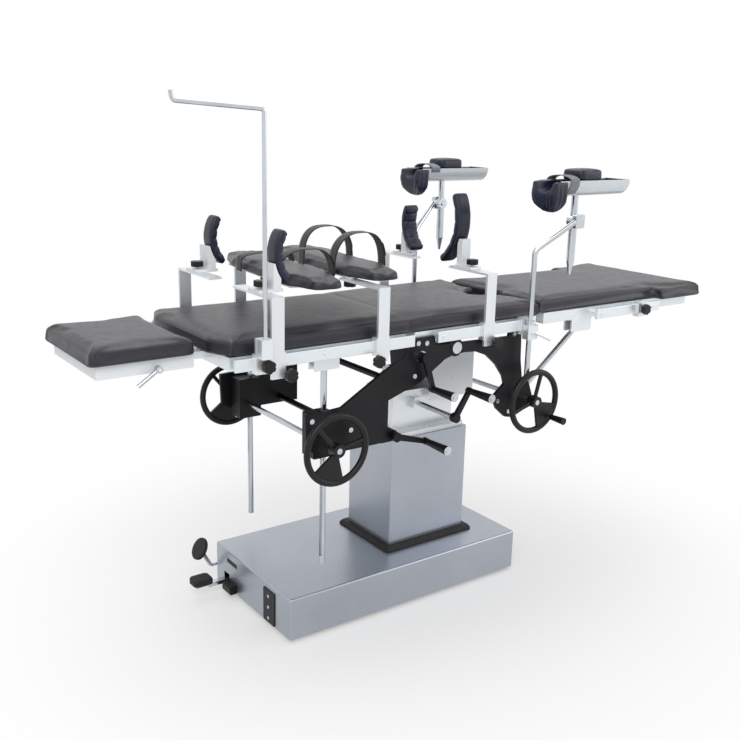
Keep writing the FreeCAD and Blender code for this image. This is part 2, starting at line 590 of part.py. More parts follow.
def cushions():
    head = [(HEAD_HINGE_X - HEAD_GAP, -HEAD_HALF), (HEAD_HINGE_X - HEAD_GAP, HEAD_HALF), (HEAD_END_X, HEAD_HALF),
            (HEAD_END_X, -HEAD_HALF)]
    head_pad = rounded(plate_xy(head, PAD_Z, TOP_Z), 14, Z_AXIS)
    save("head_cushion", head_pad.makeFillet(15, top_edges(head_pad, TOP_Z)))
    x0 = HEAD_HINGE_X + HEAD_GAP
    inner = PAD_HALF - CORNER_CUT_Y
    back = [(x0, -inner), (x0 + CORNER_CUT_X, -PAD_HALF), (BACK_HINGE_X - BACK_PAD_GAP, -PAD_HALF),
            (BACK_HINGE_X - BACK_PAD_GAP, PAD_HALF), (x0 + CORNER_CUT_X, PAD_HALF), (x0, inner)]
    back_pad = plate_xy(back, PAD_Z, TOP_Z)
    edges = [e for e in top_edges(back_pad, TOP_Z)
             if max(v.X for v in e.Vertexes) < BACK_HINGE_X - BACK_PAD_GAP - 1 or abs(e.Vertexes[0].Y - e.Vertexes[1].Y) < 1]
    save("back_cushion", back_pad.makeFillet(15, edges))
    strip = box(BACK_HINGE_X - BACK_PAD_GAP, BACK_HINGE_X + SEAT_PAD_GAP, -PAD_HALF, PAD_HALF, PAD_Z, TOP_Z)
    save("fold_strip", strip.makeFillet(15, [e for e in edges_along(strip, X_AXIS) if e.Vertexes[0].Z > PAD_Z + 1]))
    end = LEG_HINGE_X - 6
    seat = box(BACK_HINGE_X + SEAT_PAD_GAP, end, -PAD_HALF, PAD_HALF, PAD_Z, TOP_Z)
    scallop = rod(V(end - 12, 0, PAD_Z), V(end - 12, 0, TOP_Z), PERINEAL_R)
    mouth = box(end - 12, end, -PERINEAL_R, PERINEAL_R, PAD_Z, TOP_Z)
    seat = seat.cut(join([scallop, mouth]))
    edges = [e for e in top_edges(seat, TOP_Z) if max(v.X for v in e.Vertexes) > BACK_HINGE_X + SEAT_PAD_GAP + 1]
    save("seat_cushion", seat.makeFillet(9, edges))
    start = LEG_HINGE_X + 6
    leg = [(start, -LEG_PAD_HALF), (LEG_STEP_X, -LEG_PAD_HALF), (LEG_STEP_X, -FOOT_HALF),
           (LEG_END_X, -FOOT_HALF), (LEG_END_X, FOOT_HALF), (LEG_STEP_X, FOOT_HALF),
           (LEG_STEP_X, LEG_PAD_HALF), (start, LEG_PAD_HALF)]
    leg_pad = plate_xy(leg, PAD_Z, TOP_Z)
    small = Part.makeCylinder(56, PAD_T, V(start - 36, 0, PAD_Z))
    leg_pad = leg_pad.cut(small)
    save("leg_cushion", leg_pad.makeFillet(9, top_edges(leg_pad, TOP_Z)))


def local(x0, z0, angle, along, across):
    """Point in the XZ plane: along a direction at the angle above +X, and across it (down)."""
    c = math.cos(angle)
    s = math.sin(angle)
    return (x0 + along * c + across * s, z0 + along * s - across * c)


def pinion(x, z, toward, y, width):
    """Toothed wheel on the shaft whose first tooth points across to the rack."""
    points = []
    step = 2 * math.pi / TEETH
    for n in range(TEETH):
        middle = toward + n * step
        for radius, share in ((ROOT_R, -0.36), (TIP_R, -0.13), (TIP_R, 0.13), (ROOT_R, 0.36)):
            angle = middle + share * step
            points.append((x + radius * math.cos(angle), z + radius * math.sin(angle)))
    return plate_xz(points, y - width / 2, y + width / 2)


def rack(x, z, angle, low, high, first, last, y):
    """Round bar beside the shaft at (x, z), toothed on a flat that faces the shaft."""
    start = local(x, z, angle, low, RACK_OFFSET)
    end = local(x, z, angle, high, RACK_OFFSET)
    bar = rod(V(start[0], y, start[1]), V(end[0], y, end[1]), RACK_R)
    pitch = math.pi * MODULE
    top = RACK_OFFSET - RACK_PITCH_IN - TOOTH_OUT
    root = RACK_OFFSET - RACK_PITCH_IN + TOOTH_IN
    flat = [local(x, z, angle, first, top - 4), local(x, z, angle, last, top - 4),
            local(x, z, angle, last, top), local(x, z, angle, first, top)]
    cuts = [plate_xz(flat, y - 10, y + 10)]
    for n in range(math.ceil(first / pitch), math.floor(last / pitch) + 1):
        s = n * pitch
        groove = [local(x, z, angle, s - GAP_OUT, top - 1), local(x, z, angle, s + GAP_OUT, top - 1),
                  local(x, z, angle, s + GAP_IN, root), local(x, z, angle, s - GAP_IN, root)]
        cuts.append(plate_xz(groove, y - 10, y + 10))
    bar = bar.cut(Part.makeCompound(cuts))
    eye = cross_rod(end[0], end[1], y - 10, y + 10, EYE_R)
    return join([bar, eye])


def gearbox(x, z, angle, along, across, half_width):
    """Block that holds a rack against its pinion and hangs on the drive shaft."""
    corners = [local(x, z, angle, along[0], across[0]), local(x, z, angle, along[1], across[0]),
               local(x, z, angle, along[1], across[1]), local(x, z, angle, along[0], across[1])]
    block = plate_xz(corners, -DRIVE_Y - half_width, -DRIVE_Y + half_width)
    block = block.makeFillet(4, edges_along(block, Y_AXIS))
    a = local(x, z, angle, along[0] - 1, RACK_OFFSET)
    b = local(x, z, angle, along[1] + 1, RACK_OFFSET)
    cuts = [rod(V(a[0], -DRIVE_Y, a[1]), V(b[0], -DRIVE_Y, b[1]), RACK_R + AIR),
            cross_rod(x, z, -DRIVE_Y - half_width - 1, -DRIVE_Y + half_width + 1, SHAFT_R + AIR),
            cross_rod(x, z, -DRIVE_Y - half_width + 3, -DRIVE_Y + half_width - 3, TIP_R + 0.6)]
    return block.cut(Part.makeCompound(cuts))


def handwheel(x, z, y, turn):
    rim = Part.makeTorus(WHEEL_R - WHEEL_RIM_R, WHEEL_RIM_R, V(x, y, z), Y_AXIS)
    hub = cross_rod(x, z, y - 15, y + 15, 18)
    points = [(x, z)]
    for n in range(7):
        angle = math.radians(turn - 33 + 11 * n)
        points.append((x + WHEEL_WEB_R * math.cos(angle), z + WHEEL_WEB_R * math.sin(angle)))
    web = plate_xz(points, y - 4, y + 4)
    spokes = []
    for off in (120, 240):
        angle = math.radians(turn + off)
        spokes.append(rod(V(x, y, z), V(x + WHEEL_WEB_R * math.cos(angle), y,
                                        z + WHEEL_WEB_R * math.sin(angle)), 6))
    return join([rim, hub, web] + spokes).cut(cross_rod(x, z, y - 16, y + 16, SHAFT_R))


def drives():
    reach = WHEEL_Y + 15
    shaft = cross_rod(BACK_SHAFT_X, BACK_SHAFT_Z, -reach, reach, SHAFT_R)
    gears = [pinion(BACK_SHAFT_X, BACK_SHAFT_Z, 0.0, side * DRIVE_Y, PINION_W) for side in SIDES]
    save("back_drive_shaft", join([shaft] + gears))
    save("back_handwheels", [handwheel(BACK_SHAFT_X, BACK_SHAFT_Z, side * WHEEL_Y, 250)
                             for side in SIDES])
    up = math.pi / 2
    low = BACK_RACK_LOW - BACK_SHAFT_Z
    high = BACK_PIN_Z - BACK_SHAFT_Z
    bar = rack(BACK_SHAFT_X, BACK_SHAFT_Z, up, low, high, low + 24, 60, -DRIVE_Y)
    save("back_racks", both_sides(bar))
    block = gearbox(BACK_SHAFT_X, BACK_SHAFT_Z, up, (-43, 78), (-30, 42), 28)
    save("back_gearboxes", both_sides(block))
    tilt = math.radians(LEG_RACK_DEG)
    shaft = cross_rod(LEG_SHAFT_X, LEG_SHAFT_Z, -reach, SIDE_OUT + 10, SHAFT_R)
    gears = [pinion(LEG_SHAFT_X, LEG_SHAFT_Z, tilt - up, side * DRIVE_Y, LEG_PINION_W) for side in SIDES]
    wheel = handwheel(LEG_SHAFT_X, LEG_SHAFT_Z, -WHEEL_Y, 315)
    angle = math.radians(320)
    grip = V(LEG_SHAFT_X + (WHEEL_R - WHEEL_RIM_R) * math.cos(angle), -WHEEL_Y,
             LEG_SHAFT_Z + (WHEEL_R - WHEEL_RIM_R) * math.sin(angle))
    handle = Part.makeCone(8, 11, 58, grip - V(0, 4, 0), V(0, -1, 0))
    save("leg_drive_shaft", join([shaft] + gears))
    save("leg_handwheel", join([wheel, handle]))
    bar = rack(LEG_SHAFT_X, LEG_SHAFT_Z, tilt, -LEG_RACK_TAIL, LEG_PIN_ALONG, -12, 312, -DRIVE_Y)
    save("leg_racks", both_sides(bar))
    block = gearbox(LEG_SHAFT_X, LEG_SHAFT_Z, tilt, (-30, 21), (-19, 33), 10)
    save("leg_gearboxes", both_sides(block))


def crank(name, x, z, y_root, hub_y, dx, dz, grip):
    length = math.hypot(dx, dz)
    ux = dx / length
    uz = dz / length
    shaft = cross_rod(x, z, hub_y, y_root, CRANK_R)
    hub = cross_rod(x, z, hub_y - 9, hub_y + 9, 14)
    bar = [(x - uz * 9, z + ux * 9), (x + dx - uz * 7, z + dz + ux * 7),
           (x + dx + uz * 7, z + dz - ux * 7), (x + uz * 9, z - ux * 9)]
    arm = plate_xz(bar, hub_y - 5, hub_y + 5)
    end = cross_rod(x + dx, z + dz, hub_y - 7, hub_y + 7, 10)
    tip = V(x + dx, hub_y - 7, z + dz)
    handle = Part.makeCone(9, 13, grip, tip, V(0, -1, 0))
    screw = rod(tip - V(0, grip, 0), tip - V(0, grip + 3, 0), 6)
    save(name, join([shaft, hub, arm, end, handle, screw]))


def cranks():
    crank("lock_crank", CRANK_A_X, CRANK_A_Z, -CRANK_A_Y0 - 1, -258, 107, -32, 92)
    crank("roll_crank", CRANK_B_X, CRANK_B_Z, -RAM_HALF_Y - 1, -260, 50, 74, 90)
    crank("tilt_crank", CRANK_C_X, CRANK_C_Z, -SIDE_IN, -270, 32, -94, 88)


def rail_clamp(x, half_width):
    """Jaw that hooks over the near rail, with its lower jaw under it."""
    y0 = -RAIL_IN - RAIL_T - POST_T
    parts = [box(x - half_width, x + half_width, y0, -RAIL_IN - RAIL_T, RAIL_Z - 10, RAIL_Z + RAIL_H + 8),
             box(x - half_width, x + half_width, y0, -RAIL_IN + 4, RAIL_Z + RAIL_H, RAIL_Z + RAIL_H + 8),
             box(x - half_width, x + half_width, -RAIL_IN, -RAIL_IN + 4, RAIL_Z + RAIL_H - 7,
                 RAIL_Z + RAIL_H + 8),
             box(x - half_width, x + half_width, y0, -RAIL_IN + 4, RAIL_Z - 10, RAIL_Z)]
    return join(parts)


def flat_post(x, top, inward, knob_x):
    """Flat bar clamped on the near rail, bent in at the top into a plate over the cushion."""
    y0 = -RAIL_IN - RAIL_T - POST_T
    half = POST_W / 2
    bar = box(x - half, x + half, y0, -RAIL_IN - RAIL_T, RAIL_Z - 28, top)
    plate = box(x - half, x + half, y0, -inward, top - PLATE_T, top)
    body = join([bar, plate, rail_clamp(x, half + 4)])
    knob = star_knob(V(knob_x, y0 - 6, RAIL_Z - 20), V(0, -1, 0), 6)
    return join([body, knob, box(min(x, knob_x), max(x, knob_x) + 1, y0, y0 + POST_T, RAIL_Z - 26, RAIL_Z - 14)])


def posts():
    parts = []
    parts.append(flat_post(SHOULDER_X, SHOULDER_TOP, 66, SHOULDER_X + 30))
    parts.append(mirror_y(parts[0]))
    for x, side in ((ARM_NEAR_X, -1), (ARM_FAR_X, 1)):
        post = flat_post(x, ARM_TOP, 77, x + side * 22)
        post = post.cut(rod(V(x, -SWIVEL_Y, ARM_TOP - 20), V(x, -SWIVEL_Y, ARM_TOP), SWIVEL_R + RUN))
        parts.append(post if side < 0 else mirror_y(post))
    near = flat_post(SIDE_NEAR_X, SIDE_TOP, 96, SIDE_NEAR_X + 22)
    far = mirror_y(flat_post(SIDE_FAR_X, SIDE_TOP, 96, SIDE_FAR_X + 22))
    seat_parts = [near, far] + both_sides(leg_clamp())
    save("seat_posts", seat_parts)
    socket = rounded(box(SCREEN_X - 16, SCREEN_X + 16, SCREEN_Y - 15, -RAIL_IN - RAIL_T - POST_T,
                         845, 893), 5, Z_AXIS)
    socket = socket.cut(rod(V(SCREEN_X, SCREEN_Y, 850), V(SCREEN_X, SCREEN_Y, 894), SCREEN_R + RUN))
    strip = box(SCREEN_X - 16, SCREEN_X + 16, -RAIL_IN - RAIL_T - POST_T, -RAIL_IN - RAIL_T,
                RAIL_Z - 10, 893)
    jaw = join([socket, strip, rail_clamp(SCREEN_X, 16),
                star_knob(V(SCREEN_X + 10, -RAIL_IN - RAIL_T - POST_T - 8, 822), V(0, -1, 0), 8)])
    save("back_posts", parts + [jaw])
    path = [V(SCREEN_X, SCREEN_Y, 850), V(SCREEN_X, SCREEN_Y, SCREEN_TOP),
            V(SCREEN_X - 222, SCREEN_Y, SCREEN_TOP + 13), V(SCREEN_X - 226, SCREEN_Y, SCREEN_TOP + 34)]
    save("screen_rod", bent_rod(path, SCREEN_R, 9))
    save("leg_rail_clamp", join([rail_clamp(752, 18),
                                 star_knob(V(752, -RAIL_IN - RAIL_T - POST_T - 8, HINGE_Z), V(0, -1, 0), 8)]))


def leg_clamp():
    y1 = -RAIL_IN - RAIL_T - POST_T
    body = rounded(box(HOLDER_X - 20, HOLDER_X + 20, HOLDER_Y - 18, y1, 790, 832), 5, Z_AXIS)
    body = body.cut(rod(V(HOLDER_X, HOLDER_Y, 780), V(HOLDER_X, HOLDER_Y, 840), HOLDER_R + RUN))
    lever = bent_rod([V(HOLDER_X, HOLDER_Y - 16, 811), V(HOLDER_X, HOLDER_Y - 34, 811),
                      V(HOLDER_X + 44, HOLDER_Y - 44, 790)], 5, 8)
    return join([body, rail_clamp(HOLDER_X, 20), lever])


def curved_pad(points, thick, x0, x1):
    """Pad bent in the YZ plane through three points of its outer face, x0 to x1 wide."""
    outer = Part.Arc(*[V(x0, y, z) for y, z in points]).toShape()
    centre = outer.Curve.Center
    inner = [V(x0, y, z) + (centre - V(x0, y, z)).normalize() * thick for y, z in points]
    arc = Part.Arc(*inner)
    wire = Part.Wire([outer, Part.makeLine(V(x0, *points[2]), inner[2]), arc.toShape(),
                      Part.makeLine(inner[0], V(x0, *points[0]))])
    pad = Part.Face(wire).extrude(V(x1 - x0, 0, 0))
    ends = edges_along(pad, X_AXIS)
    return pad.makeFillet(12, ends)


def slider(x, y, top, pad_x, half, knob_shift):
    """Foot that rides on a post's plate, with its clamping knob on top."""
    foot = box(min(x, pad_x) - 20, max(x, pad_x) + 20, y - half, y + half, top + SIDE_GAP, top + 8)
    knob = star_knob(V(x, y + knob_shift, top + 14), Z_AXIS, 7)
    return join([foot, knob])


def supports():
    y = 180.0
    pad = curved_pad([(-9, 997), (34, 1072), (7, 1152)], 32, -30, 30)
    pad.rotate(ORIGIN, Z_AXIS, 90)
    pad.translate(V(SHOULDER_X + 60, -y, 0))
    stem = box(SHOULDER_X + 22, SHOULDER_X + 44, -y - SHOE_HALF, -y + SHOE_HALF, SHOULDER_TOP + SIDE_GAP, 1060)
    shoe = join([slider(SHOULDER_X, -y, SHOULDER_TOP, SHOULDER_X + 30, SHOE_HALF, 0), stem]).cut(pad)
    shoe = largest(shoe)
    save("shoulder_pad_near", [pad, shoe])
    save("shoulder_pad_far", [mirror_y(pad), mirror_y(shoe)])
    near = curved_pad([(-62, 994), (-138, 1092), (-116, 1217)], 32, SIDE_NEAR_X - 30, SIDE_NEAR_X + 30)
    stem = box(SIDE_NEAR_X - 16, SIDE_NEAR_X + 16, -150, -128, SIDE_TOP + SIDE_GAP, 1078)
    shoe = slider(SIDE_NEAR_X, -161, SIDE_TOP, SIDE_NEAR_X, 35, -18)
    shoe = join([shoe, stem]).cut(near)
    save("side_pad_near", [near, largest(shoe)])
    far = curved_pad([(94, 1005), (152, 1080), (136, 1162)], 32, SIDE_FAR_X - 30, SIDE_FAR_X + 30)
    stem = box(SIDE_FAR_X - 16, SIDE_FAR_X + 16, 132, 156, SIDE_TOP + SIDE_GAP, 1066)
    shoe = join([slider(SIDE_FAR_X, 158, SIDE_TOP, SIDE_FAR_X, 36, 18), stem]).cut(far)
    save("side_pad_far", [far, largest(shoe)])


def largest(shape):
    return max(shape.Solids, key=lambda s: s.Volume)


def armboard(cx, cy, pivot_x, pivot_y, top):
    """Paddle cushion on its tray, turned a few degrees, and the pin and knob it swivels on."""
    z0 = top + SIDE_GAP
    straight = ARM_STRAIGHT / 2
    tray = box(-ARM_W / 2 + 12, ARM_W / 2 - 12, -straight - 40, straight + 40, z0, z0 + 4)
    quarter = [(ARM_END_W / 2, ARM_LEN / 2), (ARM_W / 2, straight)]
    outline = quarter + [(x, -y) for x, y in quarter[::-1]]
    outline += [(-x, -y) for x, y in quarter] + [(-x, y) for x, y in quarter[::-1]]
    pad = rounded(plate_xy(outline, z0 + 4, z0 + 30), 34, Z_AXIS)
    pad = pad.makeFillet(9, top_edges(pad, z0 + 30))
    shapes = []
    for shape in (tray, pad):
        shape.rotate(ORIGIN, Z_AXIS, -ARM_TURN)
        shape.translate(V(cx, cy, 0))
        shapes.append(shape)
    pin = rod(V(pivot_x, pivot_y, top - PLATE_T - 8), V(pivot_x, pivot_y, z0 + 1), SWIVEL_R)
    knob = star_knob(V(pivot_x, pivot_y, top - PLATE_T - SIDE_GAP), V(0, 0, -1), 5)
    shapes[0] = join([shapes[0], pin, knob])
    return shapes


def strap(cx, cy, along, height, width, band, z0):
    """Webbing arch across the board at a place along it."""
    outline = []
    for radius_y, radius_x in ((height, width), (height - 3, width - 3)):
        points = []
        for n in range(17):
            angle = math.pi * n / 16
            points.append(V(radius_x * math.cos(angle), 0, radius_y * math.sin(angle)))
        outline.append(points)
    wire = Part.makePolygon(outline[0] + outline[1][::-1] + outline[0][:1])
    arch = Part.Face(wire).extrude(V(0, band, 0))
    arch.translate(V(0, along - band / 2, z0))
    arch.rotate(ORIGIN, Z_AXIS, -ARM_TURN)
    arch.translate(V(cx, cy, 0))
    return arch


def armboards():
    z0 = ARM_TOP + SIDE_GAP + 30
    near_parts = armboard(BOARD_NEAR[0], BOARD_NEAR[1], ARM_NEAR_X, -SWIVEL_Y, ARM_TOP)
    far_parts = armboard(BOARD_FAR[0], BOARD_FAR[1], ARM_FAR_X, SWIVEL_Y, ARM_TOP)
    save("armboard_near", near_parts)
    save("armboard_far", far_parts)
    straps = [strap(BOARD_NEAR[0], BOARD_NEAR[1], s, 88, 68, 44, z0) for s in (-130, 60)]
    save("straps_near", straps)
    save("straps_far", [strap(BOARD_FAR[0], BOARD_FAR[1], s, h, 68, 40, z0) for s, h in ((-150, 62), (95, 20))])


def knee_cup(y):
    """Deep padded cup under the knee that hangs below the shell, open above for the leg."""
    z = BOOT_Z - CUP_DEPTH + CUP_R
    low = BOOT_Z - CUP_DEPTH
    wide = join([rod(V(CUP_X0, y, z), V(CUP_X1, y, z), CUP_R),
                 box(CUP_X0, CUP_X1, y - CUP_R, y + CUP_R, z, BOOT_Z)])
    side = plate_xz([(CUP_X0 + 8, BOOT_Z), (CUP_X1, BOOT_Z), (CUP_X1, low + 32), (CUP_X1 - 7, low + 8),
                     (CUP_X1 - 18, low), (CUP_X0 + 26, low + 6), (CUP_X0 + 8, low + 28), (CUP_X0, low + 56)],
                    y - CUP_R - 1, y + CUP_R + 1)
    shell = rod(V(SHELL_X0, y, BOOT_Z), V(CUP_X1 + 1, y, BOOT_Z), SHELL_R)
    shell = shell.cut(rod(V(SHELL_X0, y, BOOT_Z), V(CUP_X1 + 1, y, BOOT_Z), SHELL_R - SHELL_T))
    leg = rod(V(CUP_X0 - 1, y, BOOT_Z), V(CUP_X1 + 1, y, BOOT_Z), KNEE_R)
    return wide.common(side).cut(shell).cut(leg)


def leg_holder():
    y = -BOOT_Y
    post = bent_rod([V(HOLDER_X, HOLDER_Y, 675), V(HOLDER_X, HOLDER_Y, 1052),
                     V(BLOCK_X - 14, y - 16, BLOCK_Z)], HOLDER_R, 26)
    block = rounded(box(BLOCK_X - 18, BLOCK_X + 18, y - 22, y - SIDE_GAP - 6, BLOCK_Z - 20, BLOCK_Z + 20), 6, Y_AXIS)
    pin = cross_rod(BLOCK_X, BLOCK_Z, y - 8, y + 22, 8)
    collar = rod(V(HOLDER_X, HOLDER_Y, 832), V(HOLDER_X, HOLDER_Y, 845), 11.5)
    near = join([post, block, pin, collar])
    save("leg_post_near", near)
    save("leg_post_far", mirror_y(near))
    hub = cross_rod(BLOCK_X, BLOCK_Z, y - 6, y + 18, 17).cut(cross_rod(BLOCK_X, BLOCK_Z, y - 9, y + 24, 8 + RUN))
    stem = rod(V(BLOCK_X, y + 6, BLOCK_Z + 14), V(BLOCK_X, y + 6, BOOT_Z - SHELL_R + 4), 10)
    handle = rod(V(BLOCK_X, y + 6, BLOCK_Z - 14), V(BLOCK_X, y + 6, 1020), 12)
    point = Part.makeCone(12, 4, 44, V(BLOCK_X, y + 6, 1020), V(0, 0, -1))
    mount = join([hub, stem, handle, point])
    outer = rod(V(SHELL_X0, y, BOOT_Z), V(SHELL_X1, y, BOOT_Z), SHELL_R)
    inner = rod(V(SHELL_X0 - 1, y, BOOT_Z), V(SHELL_X1 - 12, y, BOOT_Z), SHELL_R - SHELL_T)
    below = box(200, 600, y - 70, y + 70, BOOT_Z - 70, BOOT_Z)
    shell = outer.cut(inner).common(below)
    shell = join([shell, mount.cut(rod(V(SHELL_X0 - 1, y, BOOT_Z), V(SHELL_X1, y, BOOT_Z), SHELL_R - 2))])
    save("boot_near", shell)
    save("boot_far", mirror_y(shell))
    top = box(TOP_PAD_X[0], TOP_PAD_X[1], y - SHELL_R + 3, y + SHELL_R - 3, BOOT_Z, BOOT_Z + 34)
    top = rounded(top, 20, Z_AXIS)
    top = top.makeFillet(12, top_edges(top, BOOT_Z + 34))
    long_pad = rod(V(CUP_X1, y, BOOT_Z), V(LINER_X1, y, BOOT_Z), SHELL_R - SHELL_T)
    long_pad = long_pad.cut(rod(V(CUP_X1 - 1, y, BOOT_Z), V(LINER_X1 + 1, y, BOOT_Z), KNEE_R + 2))
    liner = join([knee_cup(y), long_pad.common(below)])
    save("boot_pads_near", [liner, top])
    save("boot_pads_far", [mirror_y(liner), mirror_y(top)])


def main():
    os.makedirs("parts", exist_ok=True)
    base()
    pedals()
    column()
    lift_head()
    tilt_cradle()
    side_frames()
    foldings()
    drives()
    cranks()
    posts()
    supports()
    armboards()
    leg_holder()


main()
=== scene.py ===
import math
import bmesh
import bpy
from mathutils import Matrix, Vector, noise
from mathutils.bvhtree import BVHTree


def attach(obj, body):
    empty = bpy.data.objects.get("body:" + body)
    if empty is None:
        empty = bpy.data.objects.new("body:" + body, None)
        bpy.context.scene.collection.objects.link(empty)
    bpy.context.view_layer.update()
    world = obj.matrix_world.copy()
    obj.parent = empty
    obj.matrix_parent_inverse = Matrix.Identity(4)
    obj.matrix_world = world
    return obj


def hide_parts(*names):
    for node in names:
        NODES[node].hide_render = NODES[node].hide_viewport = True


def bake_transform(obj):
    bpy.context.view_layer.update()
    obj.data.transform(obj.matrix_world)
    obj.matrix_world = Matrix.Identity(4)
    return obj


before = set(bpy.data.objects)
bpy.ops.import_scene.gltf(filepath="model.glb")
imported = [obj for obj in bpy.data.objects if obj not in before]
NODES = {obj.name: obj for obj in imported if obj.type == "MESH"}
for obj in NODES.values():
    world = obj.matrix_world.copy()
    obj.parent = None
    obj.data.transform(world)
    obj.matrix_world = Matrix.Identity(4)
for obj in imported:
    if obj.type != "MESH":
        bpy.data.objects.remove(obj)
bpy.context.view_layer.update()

# Camera, fitted to the photograph
CAM_POS = (-1.7628, -2.2263, 1.4161)
CAM_YAW = 0.62585
CAM_PITCH = 0.26197
CAM_ROLL = 0.023946
CAM_LENS = 45.93

# The flat cushions, in metres: top, underside, half width, and where their seams and held edge are
TOP_Z = 0.888
PAD_Z = 0.844
PAD_HALF = 0.240
SEAM_TOP_Z = TOP_Z - 0.008
SEAM_LOW_Z = PAD_Z + 0.007
HELD_Z = PAD_Z + 0.0015
PLAIN_Z = PAD_Z + 0.004
CUSHION_VOXEL = 0.006
CUSHION_CAP = 0.006


def node_tree(mat):
    mat.use_nodes = True
    tree = mat.node_tree
    for n in list(tree.nodes):
        tree.nodes.remove(n)
    return tree


def add(tree, kind, **inputs):
    node = tree.nodes.new(kind)
    for key, value in inputs.items():
        if key in node.inputs:
            node.inputs[key].default_value = value
        else:
            setattr(node, key, value)
    return node


def link(tree, a, out, b, into):
    tree.links.new(a.outputs[out], b.inputs[into])


def ramp(tree, source, out, low, high, c0, c1):
    node = tree.nodes.new("ShaderNodeValToRGB")
    node.color_ramp.elements[0].position = low
    node.color_ramp.elements[1].position = high
    node.color_ramp.elements[0].color = c0
    node.color_ramp.elements[1].color = c1
    link(tree, source, out, node, "Fac")
    return node


def grey(v):
    return (v, v, v, 1.0)


def textured(tree, scale, stretch=(1, 1, 1), detail=4.0, kind="ShaderNodeTexNoise"):
    """Noise or cell texture in metres of the object, stretched along its axes."""
    coord = tree.nodes.new("ShaderNodeTexCoord")
    mapping = tree.nodes.new("ShaderNodeMapping")
    mapping.inputs["Scale"].default_value = stretch
    link(tree, coord, "Object", mapping, "Vector")
    tex = tree.nodes.new(kind)
    tex.inputs["Scale"].default_value = scale
    if "Detail" in tex.inputs:
        tex.inputs["Detail"].default_value = detail
    link(tree, mapping, "Vector", tex, "Vector")
    return tex


def finish(name, colour, rough, metal=0.0, spread=0.12, patch=6.0, grain=300.0, stretch=(1, 1, 1),
           bump=0.05, depth=0.0002, rough_spread=0.08, sheen=0.0, coat=0.0, cells=0.0, ior=1.5):
    """A painted, metal, plastic or leather surface with patches, grain and uneven gloss."""
    mat = bpy.data.materials.new(name)
    tree = node_tree(mat)
    out = tree.nodes.new("ShaderNodeOutputMaterial")
    bsdf = add(tree, "ShaderNodeBsdfPrincipled", Metallic=metal, IOR=ior)
    bsdf.inputs["Sheen Weight"].default_value = sheen
    bsdf.inputs["Coat Weight"].default_value = coat
    big = textured(tree, patch)
    dark = tuple(c * (1 - spread) for c in colour) + (1.0,)
    light = tuple(min(1.0, c * (1 + spread)) for c in colour) + (1.0,)
    tint = ramp(tree, big, "Fac", 0.3, 0.7, dark, light)
    link(tree, tint, "Color", bsdf, "Base Color")
    fine = textured(tree, grain, stretch)
    gloss = ramp(tree, fine, "Fac", 0.3, 0.7, grey(max(0.02, rough - rough_spread)),
                 grey(min(1.0, rough + rough_spread)))
    link(tree, gloss, "Color", bsdf, "Roughness")
    height = add(tree, "ShaderNodeBump", Strength=bump, Distance=depth)
    link(tree, fine, "Fac", height, "Height")
    if cells:
        pores = textured(tree, cells, kind="ShaderNodeTexVoronoi")
        second = add(tree, "ShaderNodeBump", Strength=0.35, Distance=0.0003)
        link(tree, pores, "Distance", second, "Height")
        link(tree, height, "Normal", second, "Normal")
        height = second
    link(tree, height, "Normal", bsdf, "Normal")
    link(tree, bsdf, "BSDF", out, "Surface")
    return mat


def weave(name, colour, pitch):
    """Webbing: fine ribs from a wave texture over a cloth grain."""
    mat = finish(name, colour, 0.75, grain=900.0, bump=0.2, sheen=0.3)
    tree = mat.node_tree
    bsdf = next(n for n in tree.nodes if n.type == "BSDF_PRINCIPLED")
    height = add(tree, "ShaderNodeBump", Strength=0.5, Distance=0.0004)
    wave = textured(tree, pitch, kind="ShaderNodeTexWave", detail=1.0)
    link(tree, wave, "Fac", height, "Height")
    link(tree, height, "Normal", bsdf, "Normal")
    return mat


def make_materials():
    along, even = (4, 90, 90), (1, 1, 1)
    return {
        "steel": finish("brushed_steel", (0.42, 0.45, 0.5), 0.33, 0.85, 0.07, 3.0, 22.0, along, 0.05,
                        0.0001),
        "leather": finish("black_leather", (0.012, 0.012, 0.02), 0.36, 0.0, 0.2, 4.0, 60.0, even, 0.12,
                          0.0003, 0.04, sheen=0.06, cells=900.0, ior=1.5),
        "blue_leather": finish("navy_leather", (0.007, 0.01, 0.03), 0.34, 0.0, 0.3, 9.0, 80.0, even, 0.16,
                               0.0004, 0.05, cells=900.0, ior=1.45),
        "black": finish("black_paint", (0.006, 0.006, 0.008), 0.4, 0.0, 0.3, 9.0, 800.0, even, 0.25,
                        0.0002, 0.08, ior=1.33),
        "white": finish("white_paint", (0.86, 0.89, 0.91), 0.3, 0.0, 0.02, 5.0, 500.0, even, 0.06, 0.0001,
                        0.05, coat=0.1),
        "alu": finish("satin_aluminium", (0.8, 0.84, 0.87), 0.34, 0.6, 0.02, 4.0, 60.0, along, 0.02,
                      0.0001, 0.03),
        "chrome": finish("bright_steel", (0.56, 0.59, 0.62), 0.2, 1.0, 0.08, 8.0, 90.0, (3, 3, 3), 0.04,
                         0.0001),
        "satin": finish("satin_steel", (0.78, 0.81, 0.84), 0.32, 0.7, 0.02, 4.0, 80.0, (60, 60, 2), 0.015,
                        0.0001, 0.02),
        "rubber": finish("black_rubber", (0.012, 0.012, 0.013), 0.6, 0.0, 0.2, 20.0, 500.0, even, 0.4,
                         0.0003, ior=1.4),
        "plastic": finish("black_plastic", (0.006, 0.006, 0.007), 0.4, 0.0, 0.2, 20.0, 900.0, even, 0.3,
                          0.0002, ior=1.38),
        "shell": finish("grey_white_shell", (0.66, 0.71, 0.75), 0.22, 0.0, 0.04, 6.0, 120.0, even, 0.05,
                        0.0002, 0.05, coat=0.4),
        "webbing": weave("webbing", (0.014, 0.015, 0.018), 420.0),
        "grey_webbing": weave("grey_webbing", (0.2, 0.22, 0.25), 420.0),
    }


